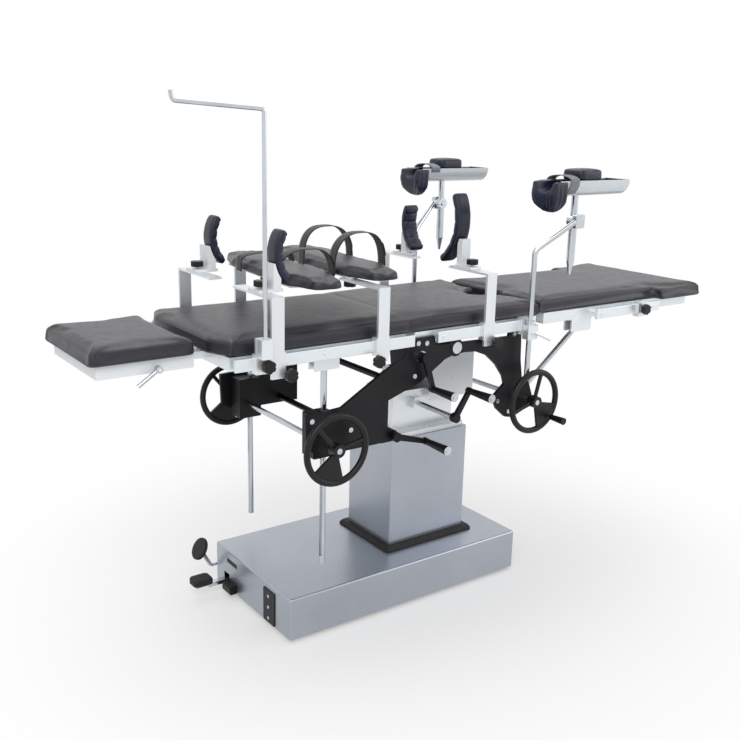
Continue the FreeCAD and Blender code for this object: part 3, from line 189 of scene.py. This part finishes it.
MAT = make_materials()

CAD_LOOK = {
    "steel": ("base_cover", "column_shroud"),
    "black": ("side_frames", "back_gearboxes", "leg_gearboxes", "base_chassis", "cross_shafts",
              "leg_handwheel", "back_handwheels", "tilt_cradle"),
    "white": ("column_cap", "head_cover", "head_frame"),
    "satin": ("inner_column", "hydraulic_cylinder"),
    "alu": ("back_frame", "seat_frame", "leg_frame", "back_rails", "seat_rails", "leg_rails"),
    "chrome": ("lift_ram", "back_racks", "leg_racks", "back_drive_shaft", "leg_drive_shaft", "screen_rod",
               "leg_post_near", "leg_post_far"),
    "rubber": ("column_gasket", "base_feet"),
    "plastic": ("guide_strips",),
}
SHARP = ("back_racks", "leg_racks", "back_drive_shaft", "leg_drive_shaft", "screen_rod", "base_feet",
         "back_handwheels", "leg_handwheel", "guide_strips")


def soften(obj, width=0.0009, segments=2):
    """Small rounded edges that catch the light, and smooth curved faces."""
    for polygon in obj.data.polygons:
        polygon.use_smooth = True
    weld = obj.modifiers.new("weld", "WELD")
    weld.merge_threshold = 0.00001
    bevel = obj.modifiers.new("edges", "BEVEL")
    bevel.width = width
    bevel.segments = segments
    bevel.limit_method = "ANGLE"
    bevel.angle_limit = math.radians(38)
    normals = obj.modifiers.new("normals", "WEIGHTED_NORMAL")
    normals.weight = 60
    return obj


def paint(obj, *looks):
    obj.data.materials.clear()
    for look in looks:
        obj.data.materials.append(MAT[look])
    return obj


def zones(obj, base, *rules):
    """Material by place: each rule is (test of a face's centre and normal, material)."""
    looks = [base]
    for rule in rules:
        if rule[1] not in looks:
            looks.append(rule[1])
    paint(obj, *looks)
    for polygon in obj.data.polygons:
        polygon.material_index = 0
        for test, look in rules:
            if test(polygon.center, polygon.normal):
                polygon.material_index = looks.index(look)
                break
    return obj


def dress_frame():
    for look, names in CAD_LOOK.items():
        for name in names:
            paint(NODES[name], look)
            if name not in SHARP:
                soften(NODES[name])
            else:
                for polygon in NODES[name].data.polygons:
                    polygon.use_smooth = False


def islands(mesh):
    """Lists of vertex indices, one for each connected solid of a mesh."""
    root = list(range(len(mesh.vertices)))

    def find(i):
        while root[i] != i:
            root[i] = root[root[i]]
            i = root[i]
        return i

    seen = {}
    for v in mesh.vertices:
        key = tuple(round(c, 6) for c in v.co)
        if key in seen:
            root[find(v.index)] = find(seen[key])
        else:
            seen[key] = v.index
    for e in mesh.edges:
        root[find(e.vertices[0])] = find(e.vertices[1])
    groups = {}
    for v in mesh.vertices:
        groups.setdefault(find(v.index), []).append(v.index)
    return list(groups.values())


def corners_of(points):
    """Lowest and highest corners of the box round the points."""
    return (Vector([min(p[k] for p in points) for k in range(3)]),
            Vector([max(p[k] for p in points) for k in range(3)]))


def solids(nodes, wanted=None, stretch=None):
    """Mesh of the solids of CAD nodes whose lowest and highest corners pass the test."""
    bm = bmesh.new()
    for node in nodes:
        mesh = NODES[node].data
        keep = set()
        for group in islands(mesh):
            if wanted is None or wanted(*corners_of([mesh.vertices[i].co for i in group])):
                keep.update(group)
        part = bmesh.new()
        part.from_mesh(mesh)
        part.verts.ensure_lookup_table()
        bmesh.ops.delete(part, geom=[v for v in part.verts if v.index not in keep], context="VERTS")
        bmesh.ops.remove_doubles(part, verts=part.verts, dist=1e-6)
        if stretch and node in stretch:
            mid = sum((v.co.x for v in part.verts)) / max(1, len(part.verts))
            for v in part.verts:
                v.co.x += stretch[node] if v.co.x > mid else -stretch[node]
        made = bpy.data.meshes.new("part")
        part.to_mesh(made)
        part.free()
        bm.from_mesh(made)
        bpy.data.meshes.remove(made)
    made = bpy.data.meshes.new("solids")
    bm.to_mesh(made)
    bm.free()
    return made


def place(mesh, name, look, slot, body, *nodes):
    obj = bpy.data.objects.new(name, mesh)
    bpy.context.scene.collection.objects.link(obj)
    if look:
        paint(obj, look)
    if nodes:
        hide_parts(*nodes)
    if body:
        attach(obj, body)
    return obj


def applied(mesh, change):
    """The mesh after the modifiers that change() adds to an object of it."""
    obj = bpy.data.objects.new("work", mesh)
    bpy.context.scene.collection.objects.link(obj)
    change(obj)
    graph = bpy.context.evaluated_depsgraph_get()
    result = bpy.data.meshes.new_from_object(obj.evaluated_get(graph))
    bpy.data.objects.remove(obj)
    return result


def remesh(mesh, voxel):
    def change(obj):
        modifier = obj.modifiers.new("remesh", "REMESH")
        modifier.mode = "VOXEL"
        modifier.voxel_size = voxel

    return applied(mesh, change)


def subdivided(mesh, levels=1):
    def change(obj):
        modifier = obj.modifiers.new("subdivision", "SUBSURF")
        modifier.levels = levels
        modifier.render_levels = levels

    return applied(mesh, change)


def smooth_verts(mesh, rounds, share=0.5):
    bm = bmesh.new()
    bm.from_mesh(mesh)
    for _ in range(rounds):
        bmesh.ops.smooth_vert(bm, verts=bm.verts, factor=share, use_axis_x=True, use_axis_y=True,
                              use_axis_z=True)
    bm.to_mesh(mesh)
    bm.free()
    return mesh


def shrink(mesh, by, held=None):
    """Every point moves in along its normal, except where held."""
    normals = [v.normal.copy() for v in mesh.vertices]
    for v, n in zip(mesh.vertices, normals):
        if held is None or not held(v.co):
            v.co -= n * by
    return mesh


def inflate(mesh, cap, held, pressure=4.0, frames=20):
    """Cloth under pressure, held where it rests; no point moves further than the cap."""
    obj = bpy.data.objects.new("cloth", mesh)
    bpy.context.scene.collection.objects.link(obj)
    group = obj.vertex_groups.new(name="held")
    group.add([v.index for v in mesh.vertices if held(v.co)], 1.0, "REPLACE")
    cloth = obj.modifiers.new("cloth", "CLOTH")
    cloth.settings.use_pressure = True
    cloth.settings.uniform_pressure_force = pressure
    cloth.settings.effector_weights.gravity = 0
    cloth.settings.vertex_group_mass = "held"
    cloth.settings.quality = 5
    cloth.settings.tension_stiffness = 25
    cloth.settings.compression_stiffness = 25
    cloth.settings.bending_stiffness = 2
    cloth.collision_settings.use_self_collision = False
    cloth.point_cache.frame_start = 1
    cloth.point_cache.frame_end = frames
    start = [v.co.copy() for v in mesh.vertices]
    scene = bpy.context.scene
    for frame_number in range(1, frames + 1):
        scene.frame_set(frame_number)
    graph = bpy.context.evaluated_depsgraph_get()
    result = bpy.data.meshes.new_from_object(obj.evaluated_get(graph))
    for v, old in zip(result.vertices, start):
        step = v.co - old
        if step.length > cap:
            v.co = old + step * (cap / step.length)
    scene.frame_set(1)
    bpy.data.objects.remove(obj)
    return result


def fitted(mesh, low, high):
    """The mesh scaled to the box from low to high."""
    a, b = corners_of([v.co for v in mesh.vertices])
    for v in mesh.vertices:
        for k in range(3):
            v.co[k] = low[k] + (v.co[k] - a[k]) * (high[k] - low[k]) / (b[k] - a[k])
    return mesh


def soft(nodes, wanted, voxel, cap, held, stretch=None, rounds=4, levels=1):
    """A cushion's mesh: remeshed CAD solid, drawn in, then filled."""
    mesh = remesh(solids(nodes, wanted, stretch), voxel)
    low, high = corners_of([v.co for v in mesh.vertices])
    mesh = fitted(smooth_verts(mesh, rounds), low, high)
    shrink(mesh, cap * 0.55, held)
    mesh = inflate(mesh, cap, held)
    mesh = smooth_verts(mesh, 2)
    if levels:
        mesh = subdivided(mesh, levels)
    for polygon in mesh.polygons:
        polygon.use_smooth = True
    return mesh


def ripple(mesh, height):
    """Moves every point along its normal by what height(point, normal) says."""
    normals = [v.normal.copy() for v in mesh.vertices]
    moves = [height(v.co, n) for v, n in zip(mesh.vertices, normals)]
    for v, n, h in zip(mesh.vertices, normals, moves):
        v.co += n * h
    mesh.update()
    return mesh


def wave(p, scale, seed=0.0):
    return noise.noise(Vector((p.x * scale + seed, p.y * scale, p.z * scale)))


def tube_along(points, radius, sides=6):
    """Thin round bead through the points of a closed path."""
    bm = bmesh.new()
    count = len(points)
    rings = []
    for i, p in enumerate(points):
        along = (points[(i + 1) % count] - points[i - 1]).normalized()
        side = along.cross(Vector((0, 0, 1)))
        side = side.normalized() if side.length > 1e-4 else Vector((1, 0, 0))
        up = side.cross(along).normalized()
        ring = []
        for k in range(sides):
            t = 2 * math.pi * k / sides
            ring.append(bm.verts.new(p + (side * math.cos(t) + up * math.sin(t)) * radius))
        rings.append(ring)
    for i in range(count):
        one, two = rings[i], rings[(i + 1) % count]
        for k in range(sides):
            bm.faces.new((one[k], one[(k + 1) % sides], two[(k + 1) % sides], two[k]))
    bmesh.ops.recalc_face_normals(bm, faces=bm.faces)
    mesh = bpy.data.meshes.new("bead")
    bm.to_mesh(mesh)
    bm.free()
    for polygon in mesh.polygons:
        polygon.use_smooth = True
    return mesh


def rounded_path(corners, radius, step, z):
    """Closed path through the corners with arcs at them, in steps."""
    points = []
    count = len(corners)
    for i, corner in enumerate(corners):
        c = Vector((corner[0], corner[1]))
        before = Vector(corners[i - 1][:2])
        after = Vector(corners[(i + 1) % count][:2])
        into = (c - before).normalized()
        out = (after - c).normalized()
        turn = into.angle(out)
        cut = min(radius * math.tan(turn / 2), (c - before).length / 2, (after - c).length / 2)
        start = c - into * cut
        end = c + out * cut
        points.append(start)
        for k in range(1, 6):
            t = k / 6
            points.append(start * (1 - t) ** 2 + c * 2 * t * (1 - t) + end * t ** 2)
        points.append(end)
    dense = []
    for i, p in enumerate(points):
        q = points[(i + 1) % len(points)]
        n = max(1, int((q - p).length / step))
        for k in range(n):
            dense.append(p.lerp(q, k / n))
    return [Vector((p.x, p.y, z)) for p in dense]


SEAM_STEP = 0.008


def snapped(mesh, points, lift):
    """The points moved onto the mesh's surface, and out by lift."""
    bm = bmesh.new()
    bm.from_mesh(mesh)
    tree = BVHTree.FromBMesh(bm)
    found = []
    for p in points:
        spot, normal, _, _ = tree.find_nearest(p)
        found.append(spot + normal * lift)
    bm.free()
    for _ in range(2):
        found = [(found[i - 1] + found[i] * 2 + found[(i + 1) % len(found)]) / 4 for i in range(len(found))]
    return found


def seam(mesh, name, corners, radius, z, bead=0.0011):
    """Sewn bead round a cushion, on its surface."""
    path = snapped(mesh, rounded_path(corners, radius, SEAM_STEP, z), 0.0002)
    return place(tube_along(path, bead), name, "leather", "pad", None)


def mattress():
    """One cushion over back and seat, with a shallow dip pressed in where the back folds."""
    nodes = ("back_cushion", "fold_strip", "seat_cushion")
    mesh = soft(nodes, None, CUSHION_VOXEL, CUSHION_CAP, lambda p: p.z < HELD_Z, {"fold_strip": 0.004})

    def surface(p, n):
        if n.z < 0.2 and p.z < PLAIN_Z:
            return 0.0
        h = 0.0007 * wave(p, 7.0) + 0.0003 * wave(p, 26.0, 4.0)
        fold = abs(p.x + 0.19)
        if fold < 0.03:
            h -= 0.0022 * (1 - fold / 0.03) ** 2
        near_cut = math.hypot(p.x - 0.30, p.y)
        if near_cut < 0.19 and n.z > 0.5:
            h += 0.0009 * math.sin(near_cut * 210 + 5 * wave(p, 12.0)) * (1 - near_cut / 0.19)
        return h

    ripple(mesh, surface)
    pad = place(mesh, "mattress", "leather", "pad", None, *nodes)
    cut_x, inner = 0.032, 0.164
    x0, x1 = -0.777, 0.312
    corners = [(x0, -inner), (x0 + cut_x, -PAD_HALF), (x1, -PAD_HALF), (x1, -0.066)]
    for k in range(9):
        angle = math.radians(270 - 22.5 * k)
        corners.append((0.3 + 0.062 * math.cos(angle), 0.062 * math.sin(angle)))
    corners += [(x1, 0.066), (x1, PAD_HALF), (x0 + cut_x, PAD_HALF), (x0, inner)]
    rim = seam(mesh, "mattress_seam", corners, 0.014, SEAM_TOP_Z)
    rim_low = seam(mesh, "mattress_seam_low", corners, 0.014, SEAM_LOW_Z)
    for obj in (pad, rim, rim_low):
        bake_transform(obj)


def flat_cushion(node, name, corners, radius, body, seed):
    mesh = soft((node,), None, CUSHION_VOXEL, CUSHION_CAP, lambda p: p.z < HELD_Z)
    ripple(mesh, lambda p, n: 0.0 if p.z < PLAIN_Z else
           0.0007 * wave(p, 7.0, seed) + 0.0003 * wave(p, 26.0, seed))
    pad = place(mesh, name, "leather", "pad", body, node)
    for part, z in (("seam", SEAM_TOP_Z), ("seam_low", SEAM_LOW_Z)):
        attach(seam(mesh, name + "_" + part, corners, radius, z), body)


def cushions():
    mattress()
    flat_cushion("head_cushion", "head_pad", [(-0.795, -0.172), (-0.795, 0.172), (-1.069, 0.172),
                                              (-1.069, -0.172)], 0.014, "head_section", 3.0)
    corners = [(0.324, -0.06), (0.324, -0.222), (0.858, -0.222), (0.858, -0.264), (1.071, -0.264),
               (1.071, 0.264), (0.858, 0.264), (0.858, 0.222), (0.324, 0.222), (0.324, 0.06)]
    for k in range(1, 8):
        angle = math.radians(50 - 12.5 * k)
        corners.append((0.288 + 0.056 * math.cos(angle), 0.056 * math.sin(angle)))
    flat_cushion("leg_cushion", "leg_pad", corners, 0.008, "leg_section", 8.0)


def knob(x, y, z, axis):
    """Test for a face of the clamp knob that starts at a point and stands along the axis."""
    start = Vector((x, y, z))
    along = Vector(axis)

    def test(c, n):
        t = (c - start).dot(along)
        return -0.0008 < t < 0.0165 and (c - start - along * t).length < 0.0185

    return test


NEAR_KNOBS = ((-0.597, 0.791), (-0.327, 0.791), (0.097, 0.791))
FAR_KNOBS = ((-0.597, 0.791), (-0.427, 0.791), (0.107, 0.791))
TRIM = [(-0.662, -0.276, 0.822, (0, -1, 0)), (0.752, -0.276, 0.827, (0, -1, 0))]
TRIM += [(x, -0.274, z, (0, -1, 0)) for x, z in NEAR_KNOBS]
TRIM += [(x, 0.274, z, (0, 1, 0)) for x, z in FAR_KNOBS]
TRIM += [(-0.627, -0.18, 1.002, (0, 0, 1)), (-0.627, 0.18, 1.002, (0, 0, 1)), (0.075, -0.179, 1.008, (0, 0, 1)),
         (0.085, 0.176, 1.008, (0, 0, 1)), (-0.305, -0.105, 0.9785, (0, 0, -1)),
         (-0.449, 0.105, 0.9785, (0, 0, -1))]
KNOBS = [knob(*k) for k in TRIM]      # every star knob: its foot, and the way that it points


SIDE_FACE = 0.2457      # just outside the side frames' plates


def is_knob(c, n):
    return any(test(c, n) for test in KNOBS)


def clamps():
    """Posts, clamps, cranks and pedals: one solid each, with a finish for each part of it."""
    for node in ("back_posts", "seat_posts"):
        zones(NODES[node], "satin", (is_knob, "plastic"),
              (lambda c, n: -0.692 < c.x < -0.652 and c.y < -0.25 and c.z > 0.8, "alu"))
    zones(NODES["leg_rail_clamp"], "satin", (is_knob, "plastic"))
    for node in ("side_frames", "cross_shafts"):
        zones(NODES[node], "black", (lambda c, n: abs(c.y) > SIDE_FACE, "chrome"))
    for node, hub, tip in (("lock_crank", -0.258, -0.357), ("roll_crank", -0.26, -0.357),
                           ("tilt_crank", -0.27, -0.365)):
        zones(NODES[node], "black", (lambda c, n, t=tip: c.y < t + 0.0001, "chrome"),
              (lambda c, n, h=hub: c.y > h + 0.0092, "chrome"))
    for node in ("leg_handwheel", "back_handwheels"):
        zones(NODES[node], "plastic")
    zones(NODES["base_fittings"], "black", (lambda c, n: c.x < -0.5685 and -0.14 < c.y < -0.078, "chrome"))
    zones(NODES["pump_pedal"], "chrome", (lambda c, n: c.z > 0.0479 and c.x < -0.61, "rubber"))
    zones(NODES["release_pedal"], "chrome", (lambda c, n: (c - Vector((-0.634, 0.19, 0.138))).length < 0.038
                                             and c.y < 0.2235, "rubber"))
    zones(NODES["head_lever"], "chrome")
    for node in ("back_posts", "seat_posts", "leg_rail_clamp", "side_frames", "cross_shafts", "lock_crank",
                 "roll_crank", "tilt_crank", "base_fittings", "pump_pedal", "release_pedal", "head_lever"):
        soften(NODES[node], 0.0007)


def solid_boxes(node):
    mesh = NODES[node].data
    return [corners_of([mesh.vertices[i].co for i in group]) for group in islands(mesh)]


def same_box(box):
    return lambda a, b: (a - box[0]).length + (b - box[1]).length < 1e-4


def arc_fit(points):
    """Centre of the circle through three points of a plane."""
    (ax, ay), (bx, by), (cx, cy) = points
    d = 2 * (ax * (by - cy) + bx * (cy - ay) + cx * (ay - by))
    a, b, c = ax * ax + ay * ay, bx * bx + by * by, cx * cx + cy * cy
    return ((a * (by - cy) + b * (cy - ay) + c * (ay - by)) / d,
            (a * (cx - bx) + b * (ax - cx) + c * (bx - ax)) / d)


PADS = (("shoulder_pad_near", "shoulder_near", 0, ((-0.558, 0.997), (-0.601, 1.072), (-0.574, 1.152)), 0.0),
        ("shoulder_pad_far", "shoulder_far", 0, ((-0.558, 0.997), (-0.601, 1.072), (-0.574, 1.152)), 5.0),
        ("side_pad_near", "side_near", 1, ((-0.062, 0.994), (-0.138, 1.092), (-0.116, 1.217)), 2.0),
        ("side_pad_far", "side_far", 1, ((0.094, 1.005), (0.152, 1.08), (0.136, 1.162)), 7.0))


def curved_pads():
    """Shoulder and side supports: banana-shaped pads gathered on their hollow side."""
    for node, body, axis, arc, seed in PADS:
        wanted = same_box(max(solid_boxes(node), key=lambda g: (g[1] - g[0]).length))
        mesh = soft((node,), wanted, 0.004, 0.008, lambda p: False, rounds=26)
        centre = arc_fit(arc)

        def pleats(p, n, axis=axis, centre=centre, seed=seed):
            u, v = p[axis] - centre[0], p.z - centre[1]
            r = math.hypot(u, v)
            inward = -(n[axis] * u + n.z * v) / r
            angle = math.atan2(v, u)
            h = 0.0006 * wave(p, 16.0, seed)
            if inward > -0.2:
                fold = abs(math.sin(angle * 11 + 1.6 * wave(p, 9.0, seed)))
                h -= 0.0026 * (1 - fold) ** 2 * min(1.0, inward + 0.2)
            return h

        ripple(mesh, pleats)
        pad = place(mesh, node + "_soft", "blue_leather", "pad", body, node)
        rest = solids((node,), lambda a, b, w=wanted: not w(a, b))
        shoe = place(rest, node + "_shoe", "white", "white", body, node)
        zones(shoe, "white", (is_knob, "plastic"))
        soften(shoe, 0.0007)


BOARDS = (("armboard_near", "arm_near", (-0.225, 0.09)), ("armboard_far", "arm_far", (-0.44, 0.045)))
BOARD_TURN = math.radians(-5)


def on_board(spot, x, y):
    """World place of a point given from a board's own middle."""
    c, s = math.cos(BOARD_TURN), math.sin(BOARD_TURN)
    return (spot[0] + x * c - y * s, spot[1] + x * s + y * c)


def armboards():
    """Two leaf-shaped pads on their trays; the far pad is the near one moved."""
    base = None
    for node, body, spot in BOARDS:
        pad_box = max(solid_boxes(node), key=lambda g: (g[1].y - g[0].y))
        wanted = same_box(pad_box)
        if base is None:
            low = pad_box[0].z + 0.0012
            base = soft((node,), wanted, 0.005, 0.006, lambda p: p.z < low)
            ripple(base, lambda p, n: 0.0006 * wave(p, 11.0, 9.0) if n.z > -0.5 else 0.0)
            mesh = base
            origin = spot
        else:
            mesh = base.copy()
            mesh.transform(Matrix.Translation((spot[0] - origin[0], spot[1] - origin[1], 0)))
        pad = place(mesh, node + "_pad", "leather", "pad", body, node)
        half = [(0.042, 0.3), (0.08, 0.17), (0.08, -0.17), (0.042, -0.3)]
        outline = half + [(-x, -y) for x, y in half]
        turned = [on_board(spot, x, y) for x, y in outline]
        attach(seam(mesh, node + "_seam", turned, 0.034, 0.9935, 0.001), body)
        rest = solids((node,), lambda a, b, w=wanted: not w(a, b))
        tray = place(rest, node + "_tray", "white", "white", body, node)
        zones(tray, "white", (is_knob, "plastic"), (lambda c, n: c.z < 0.985, "chrome"))
        soften(tray, 0.0006)


BAND_COLUMNS = 6
BAND_EDGE = 0.7        # share of the thickness left at a band's edges


def ribbon(path, width, thick, across):
    """Flat band along a path: across is the direction of its width."""
    bm = bmesh.new()
    rings = []
    count = len(path)
    for i, p in enumerate(path):
        along = (path[min(i + 1, count - 1)] - path[max(i - 1, 0)]).normalized()
        side = (across - along * across.dot(along)).normalized()
        out = along.cross(side).normalized()
        ring = []
        for face, order in ((0.5, range(BAND_COLUMNS + 1)), (-0.5, range(BAND_COLUMNS, -1, -1))):
            for k in order:
                u = (k / BAND_COLUMNS - 0.5) * width
                edge = BAND_EDGE if k in (0, BAND_COLUMNS) else 1.0
                ring.append(bm.verts.new(p + side * u + out * (thick * face * edge)))
        rings.append(ring)
    size = len(rings[0])
    for a, b in zip(rings, rings[1:]):
        for k in range(size):
            bm.faces.new((a[k], a[(k + 1) % size], b[(k + 1) % size], b[k]))
    bm.faces.new(rings[0][::-1])
    bm.faces.new(rings[-1])
    bmesh.ops.recalc_face_normals(bm, faces=bm.faces)
    mesh = bpy.data.meshes.new("ribbon")
    bm.to_mesh(mesh)
    bm.free()
    for polygon in mesh.polygons:
        polygon.use_smooth = True
    return mesh


def arch(spot, along, height, half, z0, lean):
    """Points of a strap that goes up from one edge of a board, over and down to the other."""
    points = []
    steps = 28
    down = 0.03
    for i in range(steps + 1):
        t = i / steps
        angle = math.pi * t
        squeeze = abs(math.cos(angle)) ** 0.75 * (1 if math.cos(angle) > 0 else -1)
        rise = math.sin(angle) ** 0.8 if 0 < t < 1 else 0.0
        points.append(Vector((half * squeeze + lean * rise * rise, along + 0.006 * math.sin(angle * 2),
                              z0 + height * rise)))
    ends = [Vector((half + 0.0005, along, z0 - down * k / 3)) for k in (3, 2, 1)]
    others = [Vector((-half - 0.0005, along, z0 - down * k / 3)) for k in (1, 2, 3)]
    local = ends + points + others
    return [Vector((*on_board(spot, p.x, p.y), p.z)) for p in local]


def arm_straps():
    """Webbing arches over the boards, sewn into loops, with a sliding keeper at one foot."""
    across = Vector((-math.sin(BOARD_TURN), math.cos(BOARD_TURN), 0))
    sets = (("straps_near", "arm_near", BOARDS[0][2], ((-0.13, 0.086), (0.06, 0.084)), 0.040),
            ("straps_far", "arm_far", BOARDS[1][2], ((-0.15, 0.06), (0.095, 0.02)), 0.036))
    for node, body, spot, loops, width in sets:
        for n, (along, height) in enumerate(loops):
            path = arch(spot, along, height, 0.0812, 1.0165, 0.004 * (-1) ** n)
            name = f"{node}_{n + 1}"
            place(ribbon(path, width, 0.0026, across), name, "webbing", "webbing", body, node)
            keeper = [p + across * 0.001 for p in path[4:9]]
            out = [(p - Vector((spot[0], spot[1], 1.0))).normalized() * 0.0022 for p in keeper]
            keeper = [p + o for p, o in zip(keeper, out)]
            place(ribbon(keeper, width * 1.08, 0.0024, across), name + "_keeper", "plastic", "plastic", body)


BOOT_Y = 0.310
BOOT_Z = 1.254
CUP_X = 0.237


def mirrored(mesh):
    twin = mesh.copy()
    twin.transform(Matrix.Scale(-1, 4, (0, 1, 0)))
    twin.flip_normals()
    return twin


def boots():
    """Knee cup, calf liner and top pad of both leg holders, the far ones mirrored."""
    top_box = max(solid_boxes("boot_pads_near"), key=lambda g: g[1].z)
    top_test = same_box(top_box)
    cup = soft(("boot_pads_near",), lambda a, b: not top_test(a, b), 0.0038, 0.0045, lambda p: p.x > 0.28,
               rounds=3)

    def gathers(p, n):
        if p.x > 0.272:
            return 0.0003 * wave(p, 24.0, 2.0)
        side, along = p.y + BOOT_Y, p.x - CUP_X
        angle = math.atan2(side, along)
        depth = max(0.0, min(1.0, (BOOT_Z - 0.008 - p.z) / 0.03))
        outside = 1.0 if n.x * along + n.y * side > 0 else 0.4
        fold = abs(math.sin(angle * 9 + 0.8 * wave(p, 9.0)))
        return -0.003 * depth * outside * (1 - fold) ** 2 + 0.0006 * wave(p, 16.0)

    ripple(cup, gathers)
    low = top_box[0].z + 0.0015
    top = soft(("boot_pads_near",), top_test, 0.004, 0.006, lambda p: p.z < low)

    def channels(p, n):
        groove = max(0.0, 1 - abs(abs(p.y + BOOT_Y) - 0.026) / 0.004) if n.z > 0.6 else 0.0
        return 0.0006 * wave(p, 18.0) - 0.0012 * groove

    ripple(top, channels)
    for side, body in (("near", "boot_near"), ("far", "boot_far")):
        node = "boot_pads_" + side
        one, two = (cup, top) if side == "near" else (mirrored(cup), mirrored(top))
        place(one, f"boot_{side}_cup", "blue_leather", "pad", body, node)
        place(two, f"boot_{side}_top_pad", "blue_leather", "pad", body, node)
        strap = boot_strap()
        strap = strap if side == "near" else mirrored(strap)
        place(strap, f"boot_{side}_strap", "grey_webbing", "webbing", body)
        zones(NODES["boot_" + side], "shell", (lambda c, n: c.x > 0.497 and c.z > 1.2, "rubber"),
              (lambda c, n: c.z < BOOT_Z - 0.0447, "chrome"))
        soften(NODES["boot_" + side], 0.0008)


def boot_strap():
    """Hook-and-loop strap that crosses the trough from rim to rim and hangs over its outer side."""
    radius = 0.047
    path = []
    for i in range(25):
        angle = math.radians(-14 + 244 * i / 24)
        rise = 0.3 if 0 < angle < math.pi else 1.0
        path.append(Vector((0.289, radius * math.cos(angle) - BOOT_Y,
                            BOOT_Z + radius * rise * math.sin(angle))))
    return ribbon(path, 0.036, 0.0028, Vector((1, 0, 0)))


def look():
    cam = bpy.data.cameras.new("camera")
    cam.lens = CAM_LENS
    cam.sensor_width = 36
    cam.clip_end = 100
    obj = bpy.data.objects.new("camera", cam)
    bpy.context.scene.collection.objects.link(obj)
    cp, sp = math.cos(CAM_PITCH), math.sin(CAM_PITCH)
    fwd = Vector((math.sin(CAM_YAW) * cp, math.cos(CAM_YAW) * cp, -sp))
    right = Vector((math.cos(CAM_YAW), -math.sin(CAM_YAW), 0))
    up = right.cross(fwd)
    r2 = right * math.cos(CAM_ROLL) + up * math.sin(CAM_ROLL)
    u2 = up * math.cos(CAM_ROLL) - right * math.sin(CAM_ROLL)
    m = Matrix((r2, u2, -fwd)).transposed().to_4x4()
    m.translation = Vector(CAM_POS)
    obj.matrix_world = m
    bpy.context.scene.camera = obj
    bpy.context.scene.view_settings.view_transform = "Standard"


def camera_mix(tree, plain, seen):
    """Seen by the camera and in reflections, the second shader; for light, the first."""
    path = tree.nodes.new("ShaderNodeLightPath")
    one = add(tree, "ShaderNodeMath", operation="MAXIMUM")
    two = add(tree, "ShaderNodeMath", operation="MAXIMUM")
    link(tree, path, "Is Camera Ray", one, 0)
    link(tree, path, "Is Glossy Ray", one, 1)
    link(tree, one, 0, two, 0)
    link(tree, path, "Is Transmission Ray", two, 1)
    mix = tree.nodes.new("ShaderNodeMixShader")
    link(tree, two, 0, mix, "Fac")
    tree.links.new(plain, mix.inputs[1])
    tree.links.new(seen, mix.inputs[2])
    return mix


def surroundings():
    world = bpy.data.worlds.new("world")
    bpy.context.scene.world = world
    tree = node_tree(world)
    out = tree.nodes.new("ShaderNodeOutputWorld")
    plain = add(tree, "ShaderNodeBackground", Color=grey(1.0), Strength=0.5)
    seen = add(tree, "ShaderNodeBackground", Color=grey(1.0), Strength=1.0)
    mix = camera_mix(tree, plain.outputs[0], seen.outputs[0])
    link(tree, mix, 0, out, "Surface")
    bm = bmesh.new()
    bmesh.ops.create_circle(bm, cap_ends=True, segments=96, radius=14.0)
    mesh = bpy.data.meshes.new("floor")
    bm.to_mesh(mesh)
    bm.free()
    floor = bpy.data.objects.new("floor", mesh)
    bpy.context.scene.collection.objects.link(floor)
    floor.location = (0, 0, -0.0005)
    mat = bpy.data.materials.new("pale_floor")
    tree = node_tree(mat)
    out = tree.nodes.new("ShaderNodeOutputMaterial")
    matt = add(tree, "ShaderNodeBsdfDiffuse", Color=grey(0.93))
    white = add(tree, "ShaderNodeEmission", Color=grey(1.0), Strength=1.0)
    coord = tree.nodes.new("ShaderNodeTexCoord")
    length = add(tree, "ShaderNodeVectorMath", operation="LENGTH")
    link(tree, coord, "Object", length, 0)
    fade = tree.nodes.new("ShaderNodeMapRange")
    fade.inputs["From Min"].default_value = 0.3
    fade.inputs["From Max"].default_value = 1.5
    fade.inputs["To Min"].default_value = 0.35
    fade.interpolation_type = "SMOOTHSTEP"
    link(tree, length, "Value", fade, "Value")
    lit = tree.nodes.new("ShaderNodeMixShader")
    link(tree, fade, "Result", lit, "Fac")
    link(tree, matt, 0, lit, 1)
    link(tree, white, 0, lit, 2)
    mix = camera_mix(tree, matt.outputs[0], lit.outputs[0])
    link(tree, mix, 0, out, "Surface")
    mesh.materials.append(mat)
    lamp("key", (-2.4, -2.6, 3.4), 2.4, 60.0, (0, 0, 0.7))
    lamp("fill", (2.8, -2.2, 2.2), 2.6, 26.0, (0, 0, 0.7))
    lamp("top", (0.2, 1.2, 4.2), 3.4, 46.0, (0, 0, 0.7))


def lamp(name, where, size, power, target):
    data = bpy.data.lights.new(name, "AREA")
    data.shape = "DISK"
    data.size = size
    data.energy = power
    obj = bpy.data.objects.new(name, data)
    bpy.context.scene.collection.objects.link(obj)
    aim = Vector(target) - Vector(where)
    obj.rotation_euler = aim.to_track_quat("-Z", "Y").to_euler()
    obj.location = where


look()
surroundings()
dress_frame()
clamps()
cushions()
curved_pads()
armboards()
arm_straps()
boots()
